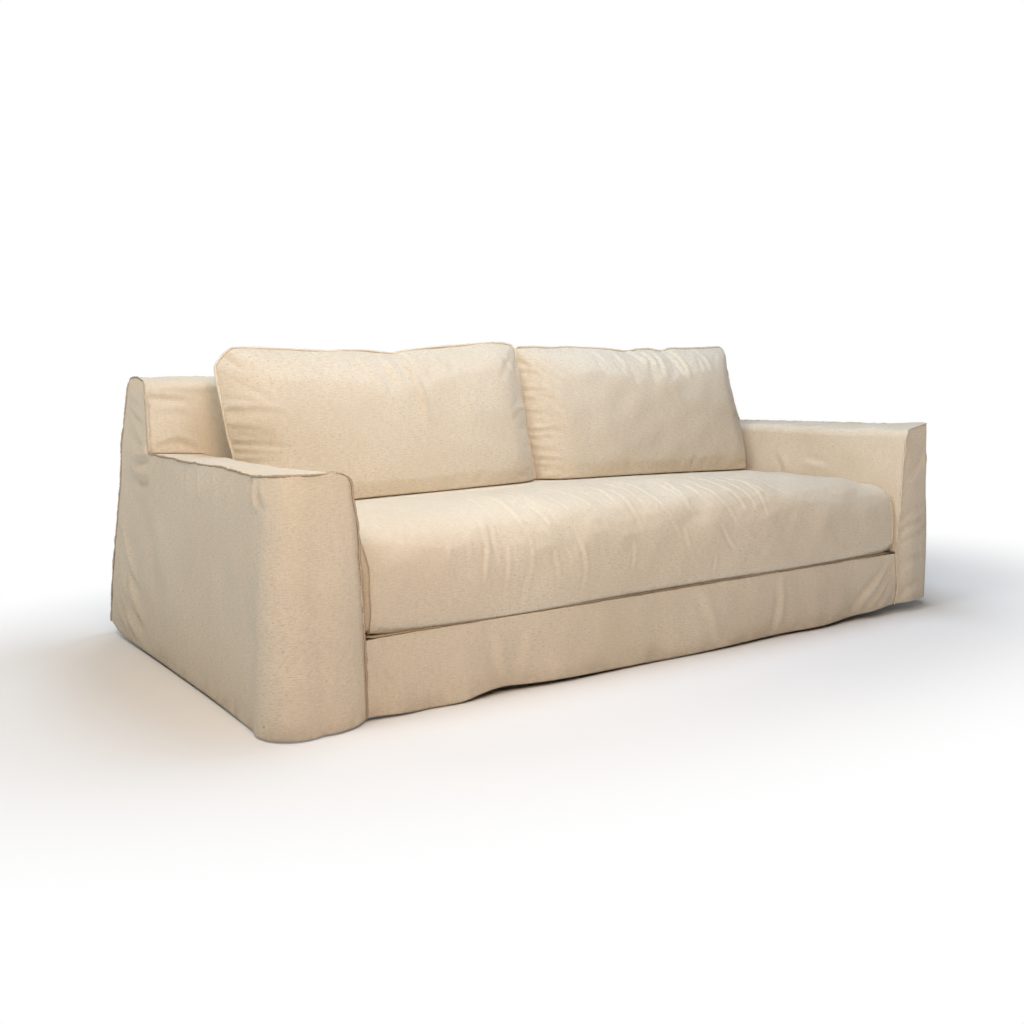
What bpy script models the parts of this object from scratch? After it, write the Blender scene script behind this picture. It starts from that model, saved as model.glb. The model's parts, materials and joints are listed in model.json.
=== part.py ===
# Slipcover of a three-seat sofa: the loose base cover of sewn linen panels, hollow
# underneath, with its filled bench cushion and two filled back cushions in place.
# Metres. X runs along the sofa, -Y is the front and Z is up; the lowest points of
# the hem stand at Z = 0. The sofa that fills the cover is not part of the model.

import bpy
import bmesh
from math import cos, exp, pi, radians, sin
from mathutils import Vector

CLOTH = 0.002           # thickness of a panel
GAP = 0.0003            # left between neighbouring pieces
WELT_RADIUS = 0.003     # raised flange seam
WELT_TRIM = WELT_RADIUS + GAP
WELT_SIDES = 2          # bevel resolution, 8 sides

HALF_WIDTH = 1.186      # middle plane to the outside of an arm, at arm height
FRONT_Y = -0.610        # face of the arm fronts
CORNER_RADIUS = 0.080   # soft outer front corner
JOIN_Y = 0.268          # where an arm's top meets the face of the back
JOIN_Z = 0.580
JOIN_HEM_Y = 0.223      # place of the side hem under that joint
BACK_LEAN = 0.26        # how far the back's face leans, per metre of height
FACE_TOP_Z = 0.742      # the back's face ends and its rounded top begins
DECK_Z = 0.196          # seat platform, and the top edge of the front skirt
SKIRT_SETBACK = 0.006

# Rounded top of the back, from its face to the rear seam: (y, z)
BACK_TOP = ((0.3140, 0.765), (0.3300, 0.779), (0.3650, 0.787), (0.4100, 0.790), (0.4530, 0.786))

# Rear edge of an outer arm panel: (fraction of height, y)
REAR_EDGE = (
    (0.00, 0.643), (0.17, 0.615), (0.42, 0.552), (0.64, 0.503), (0.70, 0.496), (0.79, 0.492),
    (0.89, 0.474), (1.00, 0.453),
)

# Each side of the cover. Rows of a table run from its front or outer end.
# seam: height of the outer seam of the arm top (y, z)
# front: height of the seam over the arm front (fraction across, z)
# arm: width of the arm front (z, width)
# side_hem, front_hem: height of the hem (y or fraction across, z)
# side_flare, front_flare: how far the hem stands out (y or fraction across, distance)
# corner_flare: how much further it stands out at the front corner
# seam_in: how far the outer seam of the arm top draws in near the back (y, distance)
# back_in: how far the end of the back draws in (z, distance)
LEFT = {
    "sign": -1,
    "seam": (
        (-0.61, 0.594), (-0.47, 0.591), (-0.35, 0.594), (-0.19, 0.597), (0.03, 0.589), (0.27, 0.580),
    ),
    "front": ((0.0, 0.594), (0.5, 0.596), (0.8, 0.602), (1.0, 0.597)),
    "arm": ((0.00, 0.214), (0.20, 0.212), (0.34, 0.206), (0.48, 0.199), (0.53, 0.190), (0.60, 0.185)),
    "side_hem": ((-0.65, 0.000), (-0.20, 0.002), (0.30, 0.004), (0.56, 0.012), (0.64, 0.034)),
    "front_hem": ((0.0, 0.000), (0.6, 0.001), (1.0, 0.004)),
    "side_flare": ((-0.61, 0.044), (-0.45, 0.034), (-0.15, 0.021), (0.27, 0.011), (0.64, 0.009)),
    "front_flare": ((0.0, 0.042), (0.3, 0.045), (0.7, 0.030), (1.0, 0.000)),
    "corner_flare": 0.024,
    "seam_in": ((0.10, 0.000), (0.268, 0.008)),
    "back_in": ((0.30, 0.000), (0.58, 0.008), (0.70, 0.017), (0.765, 0.022), (0.79, 0.030)),
}
RIGHT = {
    "sign": 1,
    "seam": ((-0.61, 0.617), (-0.45, 0.607), (-0.20, 0.601), (0.03, 0.592), (0.27, 0.580)),
    "front": ((0.0, 0.617), (0.4, 0.608), (1.0, 0.598)),
    "arm": ((0.00, 0.209), (0.10, 0.200), (0.20, 0.213), (0.30, 0.203), (0.42, 0.196), (0.60, 0.182)),
    "side_hem": ((-0.65, 0.030), (-0.30, 0.014), (0.10, 0.003), (0.64, 0.016)),
    "front_hem": ((0.0, 0.030), (1.0, 0.025)),
    "side_flare": ((-0.61, 0.006), (-0.30, 0.018), (0.10, 0.028), (0.64, 0.022)),
    "front_flare": ((0.0, 0.006), (0.5, 0.014), (1.0, 0.000)),
    "corner_flare": 0.000,
    "seam_in": ((-0.10, 0.000), (0.08, 0.012), (0.268, 0.044)),
    "back_in": (
        (0.20, 0.000), (0.40, 0.020), (0.58, 0.044), (0.645, 0.056), (0.70, 0.063), (0.79, 0.068),
    ),
}
# Hem of the front skirt and of the outside back: (x, z)
SKIRT_HEM = (
    (-0.97, 0.004), (-0.86, 0.000), (-0.72, 0.000), (-0.65, 0.009), (-0.576, 0.013), (-0.50, 0.009),
    (-0.26, 0.004), (0.00, 0.000), (0.26, 0.004), (0.59, 0.005), (0.77, 0.012), (0.98, 0.025),
)
SKIRT_FLARE = (
    (-0.97, 0.000), (-0.90, 0.014), (-0.80, 0.004), (-0.70, 0.012), (-0.576, -0.004), (-0.40, 0.010),
    (-0.10, 0.004), (0.20, 0.012), (0.45, 0.002), (0.62, 0.012), (0.78, -0.002), (0.90, 0.014),
    (0.98, 0.000),
)
BACK_HEM = ((-1.19, 0.034), (-0.95, 0.016), (-0.40, 0.004), (0.10, 0.010), (0.60, 0.002), (1.19, 0.016))

EDGE_FADE = 0.09        # share of a panel's width over which folds die out at its sides
TOP_FADE = 0.33         # share of its height over which they die out at its top
# Soft ridges (+) and troughs (-) in a panel:
# (across, up, half width, half length, lean in degrees, rise), in metres over the panel
SIDE_FOLDS = (
    (0.40, 0.46, 0.040, 0.12, 50, -0.010),
    (0.24, 0.40, 0.050, 0.20, 20, 0.008),
    (0.60, 0.16, 0.040, 0.22, 35, -0.007),
    (-0.44, 0.44, 0.030, 0.12, -8, 0.008),
    (0.05, 0.25, 0.090, 0.20, 15, -0.007),
    (-0.30, 0.15, 0.070, 0.15, -20, 0.008),
)
BACK_FOLDS = (
    (-0.85, 0.30, 0.06, 0.30, -18, -0.010),
    (-0.45, 0.20, 0.08, 0.25, 8, 0.010),
    (0.05, 0.30, 0.10, 0.30, -6, -0.008),
    (0.50, 0.18, 0.07, 0.24, 12, 0.010),
    (0.90, 0.32, 0.06, 0.30, 20, -0.010),
)

# The seat cushion and the back cushions
# Top of the seat at its back: (x, z)
SEAT_LINE = ((-0.98, 0.432), (-0.50, 0.440), (0.00, 0.444), (0.50, 0.434), (0.98, 0.415))
SEAT_HALF_WIDTH = 0.971
SEAT_FRONT_Y = -0.612
SEAT_BULGE = 0.024      # how far the middle of its front stands out
LOW_BULGE = 0.4         # share of that along its bottom edge
SEAT_CROWN = 0.030      # rise of its top in front of the back cushions
SEAT_REAR_Y = 0.20      # its rear end, which the crown is laid out from
CROWN_START_Y = -0.06
CROWN_LENGTH = 0.30
SEAT_ROLL = 0.045       # how far its front rolls back at the top
ROLL_SHARE = 0.3        # share of its height that rolls back
ROLL_DROP = 0.012
SEAT_REAR_GAP = 0.004
CONTACT = 0.0006        # left between filled pieces that rest on each other
BACK_CUSHION_TOP = (    # (x, z)
    (-0.97, 0.878), (-0.80, 0.872), (-0.42, 0.858), (-0.20, 0.872), (-0.01, 0.880),
    (0.03, 0.872), (0.20, 0.870), (0.49, 0.856), (0.68, 0.856), (0.96, 0.868),
)
# Side edges of the back cushions: (z, x)
LEFT_CUSHION = (
    ((0.44, -0.978), (0.60, -0.986), (0.68, -1.000), (0.87, -1.004)),
    ((0.44, 0.0098), (0.87, 0.0098)),
)
RIGHT_CUSHION = (
    ((0.44, 0.0022), (0.87, 0.0022)),
    ((0.42, 0.980), (0.60, 0.991), (0.68, 1.009), (0.86, 1.015)),
)
# How far their edges stand forward of even thickness: (z, distance) at the outer edges,
# and where the two cushions meet
LEFT_FORWARD = ((0.44, 0.052), (0.57, 0.052), (0.62, 0.042), (0.70, 0.013), (0.80, 0.003))
RIGHT_FORWARD = (
    (0.42, 0.041), (0.56, 0.042), (0.61, 0.034), (0.68, 0.027), (0.78, 0.022), (0.86, 0.014),
)
MIDDLE_FORWARD = 0.070

# Cages of the filled pieces: places of their points along each side, 0 to 1
SEAT_ACROSS = (0.0, 0.02, 0.08, 0.22, 0.36, 0.50, 0.64, 0.78, 0.92, 0.98, 1.0)
SEAT_BACK = (0.0, 0.10, 0.26, 0.46, 0.66, 0.84, 0.96, 1.0)
SEAT_UP = (0.0, 0.12, 0.42, 0.72, 0.92, 1.0)
BACK_ACROSS = (0.0, 0.05, 0.18, 0.38, 0.62, 0.82, 0.95, 1.0)
BACK_UP = (0.0, 0.09, 0.30, 0.54, 0.77, 0.93, 1.0)
# How full a back cushion is at those points, across and up
FULL_ACROSS = (0.06, 0.72, 0.94, 1.0, 1.0, 0.94, 0.72, 0.06)
FULL_UP = (0.90, 1.00, 1.00, 0.98, 0.88, 0.62, 0.08)
BACK_THICKNESS = 0.195
EDGE_FRONT = 0.012      # half thickness of its edge, towards the front and the rear
EDGE_REAR = 0.006
REAR_FULL = 1.15        # its rear face fills out sooner
CORNER_IN = 0.010       # how far its sides draw in at the corners, and between them
SIDE_IN = 0.004

# Cells of the panel grids
POST_CELLS = 5          # up the face of the back
ARM_CELLS = 9           # along an arm
CORNER_CELLS = 4
ACROSS_CELLS = 3        # over an arm's top
INSIDE_CELLS = 5        # from an arm's top edge down to the deck
SKIRT_CELLS = 3         # from the deck down to the hem
MIDDLE_CELLS = 12       # along the deck's rear edge
BACK_CELLS = 16
SKIRT_COLUMNS = 28
EDGE_ROUND = 0.028      # rounding of an arm's inner top edge
ARM_CROWN = 0.015       # rise of an arm's top between its edges
REAR_EASE = 0.25        # share of an arm's length over which its top eases into the front seam

LINEN = (0.78, 0.70, 0.58, 1.0)

for thing in list(bpy.data.objects):
    bpy.data.objects.remove(thing, do_unlink=True)
parts = bpy.data.collections.new("sofa_slipcover")
bpy.context.scene.collection.children.link(parts)


def curve(table, at):
    """Smooth curve through (position, value) rows, level past both ends."""
    if at <= table[0][0]:
        return table[0][1]
    if at >= table[-1][0]:
        return table[-1][1]
    row = max(k for k in range(len(table) - 1) if table[k][0] <= at)

    def slope(k):
        low, high = max(k - 1, 0), min(k + 1, len(table) - 1)
        return (table[high][1] - table[low][1]) / (table[high][0] - table[low][0])

    (start, first), (end, second) = table[row], table[row + 1]
    span = end - start
    t = (at - start) / span
    ease = t * t * (3 - 2 * t)
    bend = t * (1 - t) * span * ((1 - t) * slope(row) - t * slope(row + 1))
    return first + (second - first) * ease + bend


def mix(a, b, t):
    return a + (b - a) * t


def ramp(value):
    return max(0.0, min(1.0, value))


def ease_ends(t, reach):
    """1 along 0..1, falling to 0 over a reach at both ends."""
    return ramp(t / reach) * ramp((1 - t) / reach)


def steps(count):
    return [k / count for k in range(count + 1)]


def face_y(z):
    """The back's face, which leans back as it rises."""
    return JOIN_Y + (z - JOIN_Z) * BACK_LEAN


def end_x(side, z):
    """Distance of an end of the back from the middle plane."""
    return HALF_WIDTH - curve(side["back_in"], z)


def seam_x(side, y):
    """Distance of the arm top's outer seam from the middle plane."""
    return HALF_WIDTH - curve(side["seam_in"], y)


def inner_x(side, z):
    return HALF_WIDTH - curve(side["arm"], z)


def back_outline():
    """(y, z) from the arm joint up the back's face and over its top to the rear seam."""
    face = [(face_y(z), z) for z in (mix(JOIN_Z, FACE_TOP_Z, t) for t in steps(POST_CELLS))]
    return face + list(BACK_TOP)


def arm_section(side):
    """Seam over the arm front and down its inner edge to the deck: (across, z) rows.

    across is 0 where the soft corner ends and 1 where the rounded inner edge begins;
    below that the row holds the height alone."""
    top = curve(side["front"], 1.0)
    over = [(t, curve(side["front"], t)) for t in steps(ACROSS_CELLS)]
    down = [mix(top - EDGE_ROUND, DECK_Z, t) for t in steps(INSIDE_CELLS)]
    return over, down


def front_seam(side):
    """Points of the seam from the corner's end, over the arm front, down to the deck."""
    sign = side["sign"]
    over, down = arm_section(side)
    top = over[-1][1]
    outer, inner = HALF_WIDTH - CORNER_RADIUS, inner_x(side, top) + EDGE_ROUND
    points = [Vector((sign * mix(outer, inner, t), FRONT_Y, z)) for t, z in over]
    middle = EDGE_ROUND * (1 - cos(pi / 4))
    points.append(Vector((sign * (inner_x(side, top) + middle), FRONT_Y, top - middle)))
    points += [Vector((sign * inner_x(side, z), FRONT_Y, z)) for z in down]
    return points


def corner_point(side, angle, spread=0.0):
    """Point of the soft corner in plan, from 0 at the side to 90 degrees at the front."""
    centre_x, centre_y = HALF_WIDTH - CORNER_RADIUS, FRONT_Y + CORNER_RADIUS
    reach = CORNER_RADIUS + spread
    return side["sign"] * (centre_x + reach * cos(angle)), centre_y - reach * sin(angle)


def arm_stations():
    """Stations along an arm, rear to front: (y, corner angle or None)."""
    corner_y = FRONT_Y + CORNER_RADIUS
    along = [(mix(JOIN_Y, corner_y, t), None) for t in steps(ARM_CELLS)]
    turns = [pi / 2 * t for t in steps(CORNER_CELLS)[1:]]
    return along + [(corner_y - CORNER_RADIUS * sin(angle), angle) for angle in turns]


def hem_point(side, y):
    """Point of the side hem."""
    x = HALF_WIDTH + curve(side["side_flare"], y)
    return Vector((side["sign"] * x, y, curve(side["side_hem"], y)))


def corner_height(side, y, turned):
    """Height of the outer seam on the soft corner, from the side to the front."""
    return mix(curve(side["seam"], y), curve(side["front"], 0), turned)


def outer_seam(side):
    """Seam of the outer arm panel from the rear top corner to the arm front's inner edge.

    Each row holds the seam's point and the point of the hem under it."""
    sign = side["sign"]
    corner_y = FRONT_Y + CORNER_RADIUS
    rows = []
    outline = back_outline()[::-1]
    for k, (y, z) in enumerate(outline):
        foot = hem_point(side, mix(REAR_EDGE[0][1], JOIN_HEM_Y, k / (len(outline) - 1)))
        rows.append((Vector((sign * end_x(side, z), y, z)), foot))
    for y, angle in arm_stations()[1:]:
        if angle is None:
            foot = hem_point(side, mix(JOIN_HEM_Y, corner_y, (JOIN_Y - y) / (JOIN_Y - corner_y)))
            top = Vector((sign * seam_x(side, y), y, curve(side["seam"], y)))
        else:
            turned = angle / (pi / 2)
            flare = mix(curve(side["side_flare"], y), curve(side["front_flare"], 0), turned)
            flare += side["corner_flare"] * sin(2 * angle)
            foot = Vector((*corner_point(side, angle, flare), curve(side["side_hem"], y)))
            top = Vector((*corner_point(side, angle), corner_height(side, y, turned)))
        rows.append((top, foot))
    over = front_seam(side)[1:ACROSS_CELLS + 2]
    for k, top in enumerate(over):
        across = (k + 1) / len(over)
        foot_x = sign * mix(HALF_WIDTH - CORNER_RADIUS, inner_x(side, 0), across)
        foot_y = FRONT_Y - curve(side["front_flare"], across)
        rows.append((top, Vector((foot_x, foot_y, curve(side["front_hem"], across)))))
    return rows


def edge_heights(side):
    """Heights of the grid's rows at the arm front's inner edge, as fractions, hem first."""
    seam = front_seam(side)
    top, hem = seam[ACROSS_CELLS + 1].z, curve(side["front_hem"], 1.0)
    heights = [mix(hem, DECK_Z, t) for t in steps(SKIRT_CELLS)]
    heights += [point.z for point in seam[:ACROSS_CELLS + 1:-1]][1:]
    return [(z - hem) / (top - hem) for z in heights + [top]]


def folds(table, across, up):
    """Rise of a panel out of its plane at a place on it."""
    rise = 0.0
    for centre, height, half_width, half_length, lean, depth in table:
        a = radians(lean)
        over, along = across - centre, up - height
        wide = over * cos(a) + along * sin(a)
        long = along * cos(a) - over * sin(a)
        rise += depth * exp(-(wide / half_width) ** 2 - (long / half_length) ** 2)
    return rise


def arm_side_grid(side):
    """Outer arm panel: columns along its seam from the rear, rows from the hem up."""
    rows, levels = outer_seam(side), edge_heights(side)
    last = len(rows) - 1
    grid = []
    for c, (top, foot) in enumerate(rows):
        column = []
        for level in levels:
            point = foot.lerp(top, level)
            if c <= len(back_outline()) - 1:
                rear = 1 - c / (len(back_outline()) - 1)
                straight = mix(REAR_EDGE[0][1], REAR_EDGE[-1][1], level)
                point.y += (curve(REAR_EDGE, level) - straight) * rear
                flare = curve(side["side_flare"], foot.y) * max(0.0, 1 - point.z / JOIN_Z)
                point.x = side["sign"] * (end_x(side, point.z) + flare)
            if c == last:
                point.x = side["sign"] * inner_x(side, point.z)
            fade = ease_ends(c / last, EDGE_FADE) * ramp((1 - level) / TOP_FADE) ** 2
            out = folds(SIDE_FOLDS, point.y, point.z) * fade
            turn = 0.0 if abs(point.x) > HALF_WIDTH - CORNER_RADIUS / 2 else 1.0
            point += Vector((side["sign"] * (1 - turn), -turn, 0)) * out
            column.append(point)
        grid.append(column)
    grid[last][-1] = rows[last][0].copy()
    return grid


def arm_inner_grid(side):
    """Arm top and inside: columns along the arm from the rear, rows from the outer seam in."""
    sign = side["sign"]
    grid = []
    seam = front_seam(side)
    over, down = arm_section(side)
    inner_top = over[-1][1]
    length = JOIN_Y - FRONT_Y
    for y, angle in arm_stations():
        away = (y - FRONT_Y) / length
        rear = ramp(away / REAR_EASE)
        if angle is None:
            outer = Vector((sign * seam_x(side, y), y, curve(side["seam"], y)))
        else:
            outer = Vector((*corner_point(side, angle), corner_height(side, y, angle / (pi / 2))))
        droop = mix(0, JOIN_Z - inner_top, away)
        column = []
        for k, point in enumerate(seam):
            place = point.copy()
            if k <= ACROSS_CELLS:
                across = k / ACROSS_CELLS
                place.x = mix(outer.x, seam[ACROSS_CELLS].x, across)
                level = mix(outer.z, inner_top + droop, across)
                puff = ARM_CROWN * sin(pi * across) * ease_ends(away, REAR_EASE) if k else 0.0
                place.z = mix(point.z, level, rear) + puff
            else:
                place.z += droop * (1 - ramp((inner_top - point.z) / (inner_top - DECK_Z)))
            reach = (min(face_y(place.z), JOIN_Y) - FRONT_Y) / length
            place.y = FRONT_Y + (y - FRONT_Y) * (1 if k == 0 else reach)
            column.append(place)
        grid.append(column)
    return grid


def back_inside_grid(left_rear, right_rear):
    """Inside back: columns from left to right, rows from the arms and deck up and over."""
    outline = back_outline()
    deck_left, deck_right = left_rear[-1], right_rear[-1]
    bottoms = list(left_rear)
    bottoms += [deck_left.lerp(deck_right, t) for t in steps(MIDDLE_CELLS)[1:-1]]
    bottoms += right_rear[::-1]
    last = len(bottoms) - 1
    grid = []
    for c, bottom in enumerate(bottoms):
        spread = c / last
        column = []
        for r, (y, z) in enumerate(outline):
            top_x = mix(-end_x(LEFT, z), end_x(RIGHT, z), spread)
            if r > POST_CELLS:
                column.append(Vector((top_x, y, z)))
                continue
            up = r / POST_CELLS
            z = mix(bottom.z, FACE_TOP_Z, up)
            low_x, high_x = -end_x(LEFT, z), end_x(RIGHT, z)
            x = max(low_x, min(high_x, mix(bottom.x, top_x, up)))
            x = {0: low_x, last: high_x}.get(c, x)
            column.append(Vector((x, face_y(z), z)))
        grid.append(column)
    for c in (0, last):
        grid[c][0] = bottoms[c].copy()
    return grid


def back_outside_grid(left_edge, right_edge):
    """Outside back: columns from right to left, rows from the hem up to the rear seam."""
    grid = []
    for t in steps(BACK_CELLS):
        column = []
        inside = ease_ends(t, EDGE_FADE)
        for r, (right, left) in enumerate(zip(right_edge, left_edge)):
            point = right.lerp(left, t)
            level = r / (len(left_edge) - 1)
            hem = curve(BACK_HEM, point.x) - mix(right_edge[0].z, left_edge[0].z, t)
            point.z += hem * (1 - level) * inside
            point.y += folds(BACK_FOLDS, point.x, point.z) * inside * ramp((1 - level) / TOP_FADE)
            column.append(point)
        grid.append(column)
    return grid


def skirt_grid(left_edge, right_edge):
    """Front skirt: columns from left to right, rows from the hem up to the deck."""
    grid = []
    for t in steps(SKIRT_COLUMNS):
        inside = ease_ends(t, 2 / SKIRT_COLUMNS)
        column = []
        for r, (left, right) in enumerate(zip(left_edge, right_edge)):
            point = left.lerp(right, t)
            level = r / SKIRT_CELLS
            hem = curve(SKIRT_HEM, point.x) - mix(left_edge[0].z, right_edge[0].z, t)
            point.z += hem * (1 - level) * inside
            point.y += SKIRT_SETBACK * level * inside - curve(SKIRT_FLARE, point.x) * (1 - level)
            column.append(point)
        grid.append(column)
    return grid


def deck_grid(left_inner, right_inner):
    """Seat platform: columns from left to right, rows from the front back."""
    left, right = [[column[-1] for column in grid[::-1]] for grid in (left_inner, right_inner)]
    rows = [(left[k], right[k]) for k in range(len(left)) if k == 0 or k > CORNER_CELLS]
    return [[a.lerp(b, t) for a, b in rows] for t in steps(4)]


def trimmed(grid, **trims):
    """The grid with the named sides drawn in along the cloth by the given distances.

    first and last are the outer columns, low and high the outer rows."""
    result = [[point.copy() for point in column] for column in grid]
    columns, rows = len(grid), len(grid[0])
    sides = {
        "first": [((0, r), (1, r)) for r in range(rows)],
        "last": [((columns - 1, r), (columns - 2, r)) for r in range(rows)],
        "low": [((c, 0), (c, 1)) for c in range(columns)],
        "high": [((c, rows - 1), (c, rows - 2)) for c in range(columns)],
    }
    for name, distance in trims.items():
        line = sides[name]
        for k, ((c, r), (inner_c, inner_r)) in enumerate(line):
            here = grid[c][r]
            (c0, r0), (c1, r1) = line[max(k - 1, 0)][0], line[min(k + 1, len(line) - 1)][0]
            before, after = here - grid[c0][r0], grid[c1][r1] - here
            along = (before.normalized() + after.normalized()).normalized()
            mitre = max(0.5, along.dot((after if after.length else before).normalized()))
            inward = grid[inner_c][inner_r] - here
            inward -= along * inward.dot(along)
            result[c][r] += inward.normalized() * distance / mitre
    return result


def material(name, colour=LINEN):
    cloth = bpy.data.materials.new(name)
    cloth.use_nodes = True
    cloth.diffuse_color = colour
    shader = cloth.node_tree.nodes["Principled BSDF"]
    shader.inputs["Base Color"].default_value = colour
    shader.inputs["Roughness"].default_value = 0.92
    shader.inputs["Metallic"].default_value = 0.0
    return cloth


def add_object(name, mesh):
    mesh.materials.append(material(name + "_cloth"))
    mesh.shade_smooth()
    thing = bpy.data.objects.new(name, mesh)
    parts.objects.link(thing)
    return thing


def sheet(name, grid, outward):
    """A cloth panel: a grid laid over the points, given its thickness on the inner side.

    outward is a direction that the panel's outer face looks in, on the whole."""
    columns, rows = len(grid), len(grid[0])
    bm = bmesh.new()
    bmesh.ops.create_grid(bm, x_segments=columns - 1, y_segments=rows - 1, size=1.0)
    for vert in bm.verts:
        c = round((vert.co.x + 1) / 2 * (columns - 1))
        r = round((vert.co.y + 1) / 2 * (rows - 1))
        vert.co = grid[c][r]
    bm.normal_update()
    facing = sum((face.normal * face.calc_area() for face in bm.faces), Vector())
    if facing.dot(Vector(outward)) < 0:
        bmesh.ops.reverse_faces(bm, faces=bm.faces)
    mesh = bpy.data.meshes.new(name)
    bm.to_mesh(mesh)
    bm.free()
    panel = add_object(name, mesh)
    wall = panel.modifiers.new("cloth", "SOLIDIFY")
    wall.thickness = CLOTH
    wall.offset = -1
    wall.use_even_offset = True
    return panel


def welt(name, points):
    """A raised seam: a round tube along the line where panels meet."""
    line = bpy.data.curves.new(name, "CURVE")
    line.dimensions = "3D"
    line.bevel_depth = WELT_RADIUS
    line.bevel_resolution = WELT_SIDES
    line.use_fill_caps = True
    spline = line.splines.new("POLY")
    spline.points.add(len(points) - 1)
    for target, point in zip(spline.points, points):
        target.co = (*point, 1.0)
    line.materials.append(material(name + "_cloth"))
    parts.objects.link(bpy.data.objects.new(name, line))


def pad(name, columns, rows, layers, place):
    """A filled form: a box cage of cells laid out by place(a, b, c), then subdivided.

    a runs along X, b along Y and c along Z, each from 0 to 1."""
    bm = bmesh.new()
    bmesh.ops.create_cube(bm, size=1.0)
    for axis, cells in ((0, columns), (1, rows), (2, layers)):
        edges = [e for e in bm.edges if abs(e.verts[0].co[axis] - e.verts[1].co[axis]) > 0.5]
        bmesh.ops.subdivide_edges(bm, edges=edges, cuts=cells - 1, use_grid_fill=True)
    for vert in bm.verts:
        vert.co = place(*(value + 0.5 for value in vert.co))
    mesh = bpy.data.meshes.new(name)
    bm.to_mesh(mesh)
    bm.free()
    cushion = add_object(name, mesh)
    soft = cushion.modifiers.new("soft", "SUBSURF")
    soft.levels = soft.render_levels = 1


def dome(t, power=4):
    """0 at both ends of 0..1 and 1 in the middle, with a full shoulder."""
    return 1 - abs(2 * t - 1) ** power


def seat_top(x, y):
    """Top of the bench cushion: level under the back cushions, crowned in front of them."""
    forward = ramp((CROWN_START_Y - y) / CROWN_LENGTH)
    return curve(SEAT_LINE, x) + SEAT_CROWN * dome((x + 1) / 2) * sin(forward * pi / 2) ** 2


def spaced(places, t):
    """Place of an evenly spaced cage point t, from 0 to 1, in a row of uneven places."""
    return places[round(t * (len(places) - 1))]


def seat_place(a, b, c):
    """Bench cushion: flat below and behind, with a waterfall front."""
    across, back, up = spaced(SEAT_ACROSS, a), spaced(SEAT_BACK, b), spaced(SEAT_UP, c)
    x = SEAT_HALF_WIDTH * (2 * across - 1)
    front = SEAT_FRONT_Y - SEAT_BULGE * dome(across) * mix(LOW_BULGE, 1, sin(pi * up))
    front += SEAT_ROLL * ramp((up - 1 + ROLL_SHARE) / ROLL_SHARE) ** 2
    z = mix(DECK_Z + CONTACT, seat_top(x, mix(front, SEAT_REAR_Y, back)), up)
    z -= ROLL_DROP * up if b == 0 else 0.0
    return Vector((x, mix(front, face_y(z) - SEAT_REAR_GAP, back), z))


def back_cushion_place(low_edge, high_edge, outer_forward, outer_end):
    """Place of a knife-edge cushion that stands on the seat and leans on the back.

    outer_end is 0 where the low end is the outer one, and 1 where the high end is."""
    def place(a, b, c):
        across, up = spaced(BACK_ACROSS, a), spaced(BACK_UP, c)
        drawn = mix(CORNER_IN, SIDE_IN, dome(up))
        height = mix(low_edge[0][0], low_edge[-1][0], up)
        x = mix(curve(low_edge, height) + drawn, curve(high_edge, height) - drawn, across)
        z = mix(curve(SEAT_LINE, x) + CONTACT, curve(BACK_CUSHION_TOP, x), up)
        full = spaced(FULL_ACROSS, a) * spaced(FULL_UP, c)
        forward = mix(curve(outer_forward, z), MIDDLE_FORWARD, abs(across - outer_end))
        front = 0.5 * BACK_THICKNESS * full + EDGE_FRONT
        rear = (0.5 * BACK_THICKNESS + forward) * ramp(full * REAR_FULL) + EDGE_REAR
        seam = face_y(z) - CONTACT - 0.5 * BACK_THICKNESS - EDGE_REAR - forward
        return Vector((x, mix(seam - front, seam + rear, b), z))
    return place


def welt_ends(points, distance):
    """The line of points with its two ends drawn in."""
    first = points[0] + (points[1] - points[0]).normalized() * distance
    last = points[-1] + (points[-2] - points[-1]).normalized() * distance
    return [first] + points[1:-1] + [last]


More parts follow.
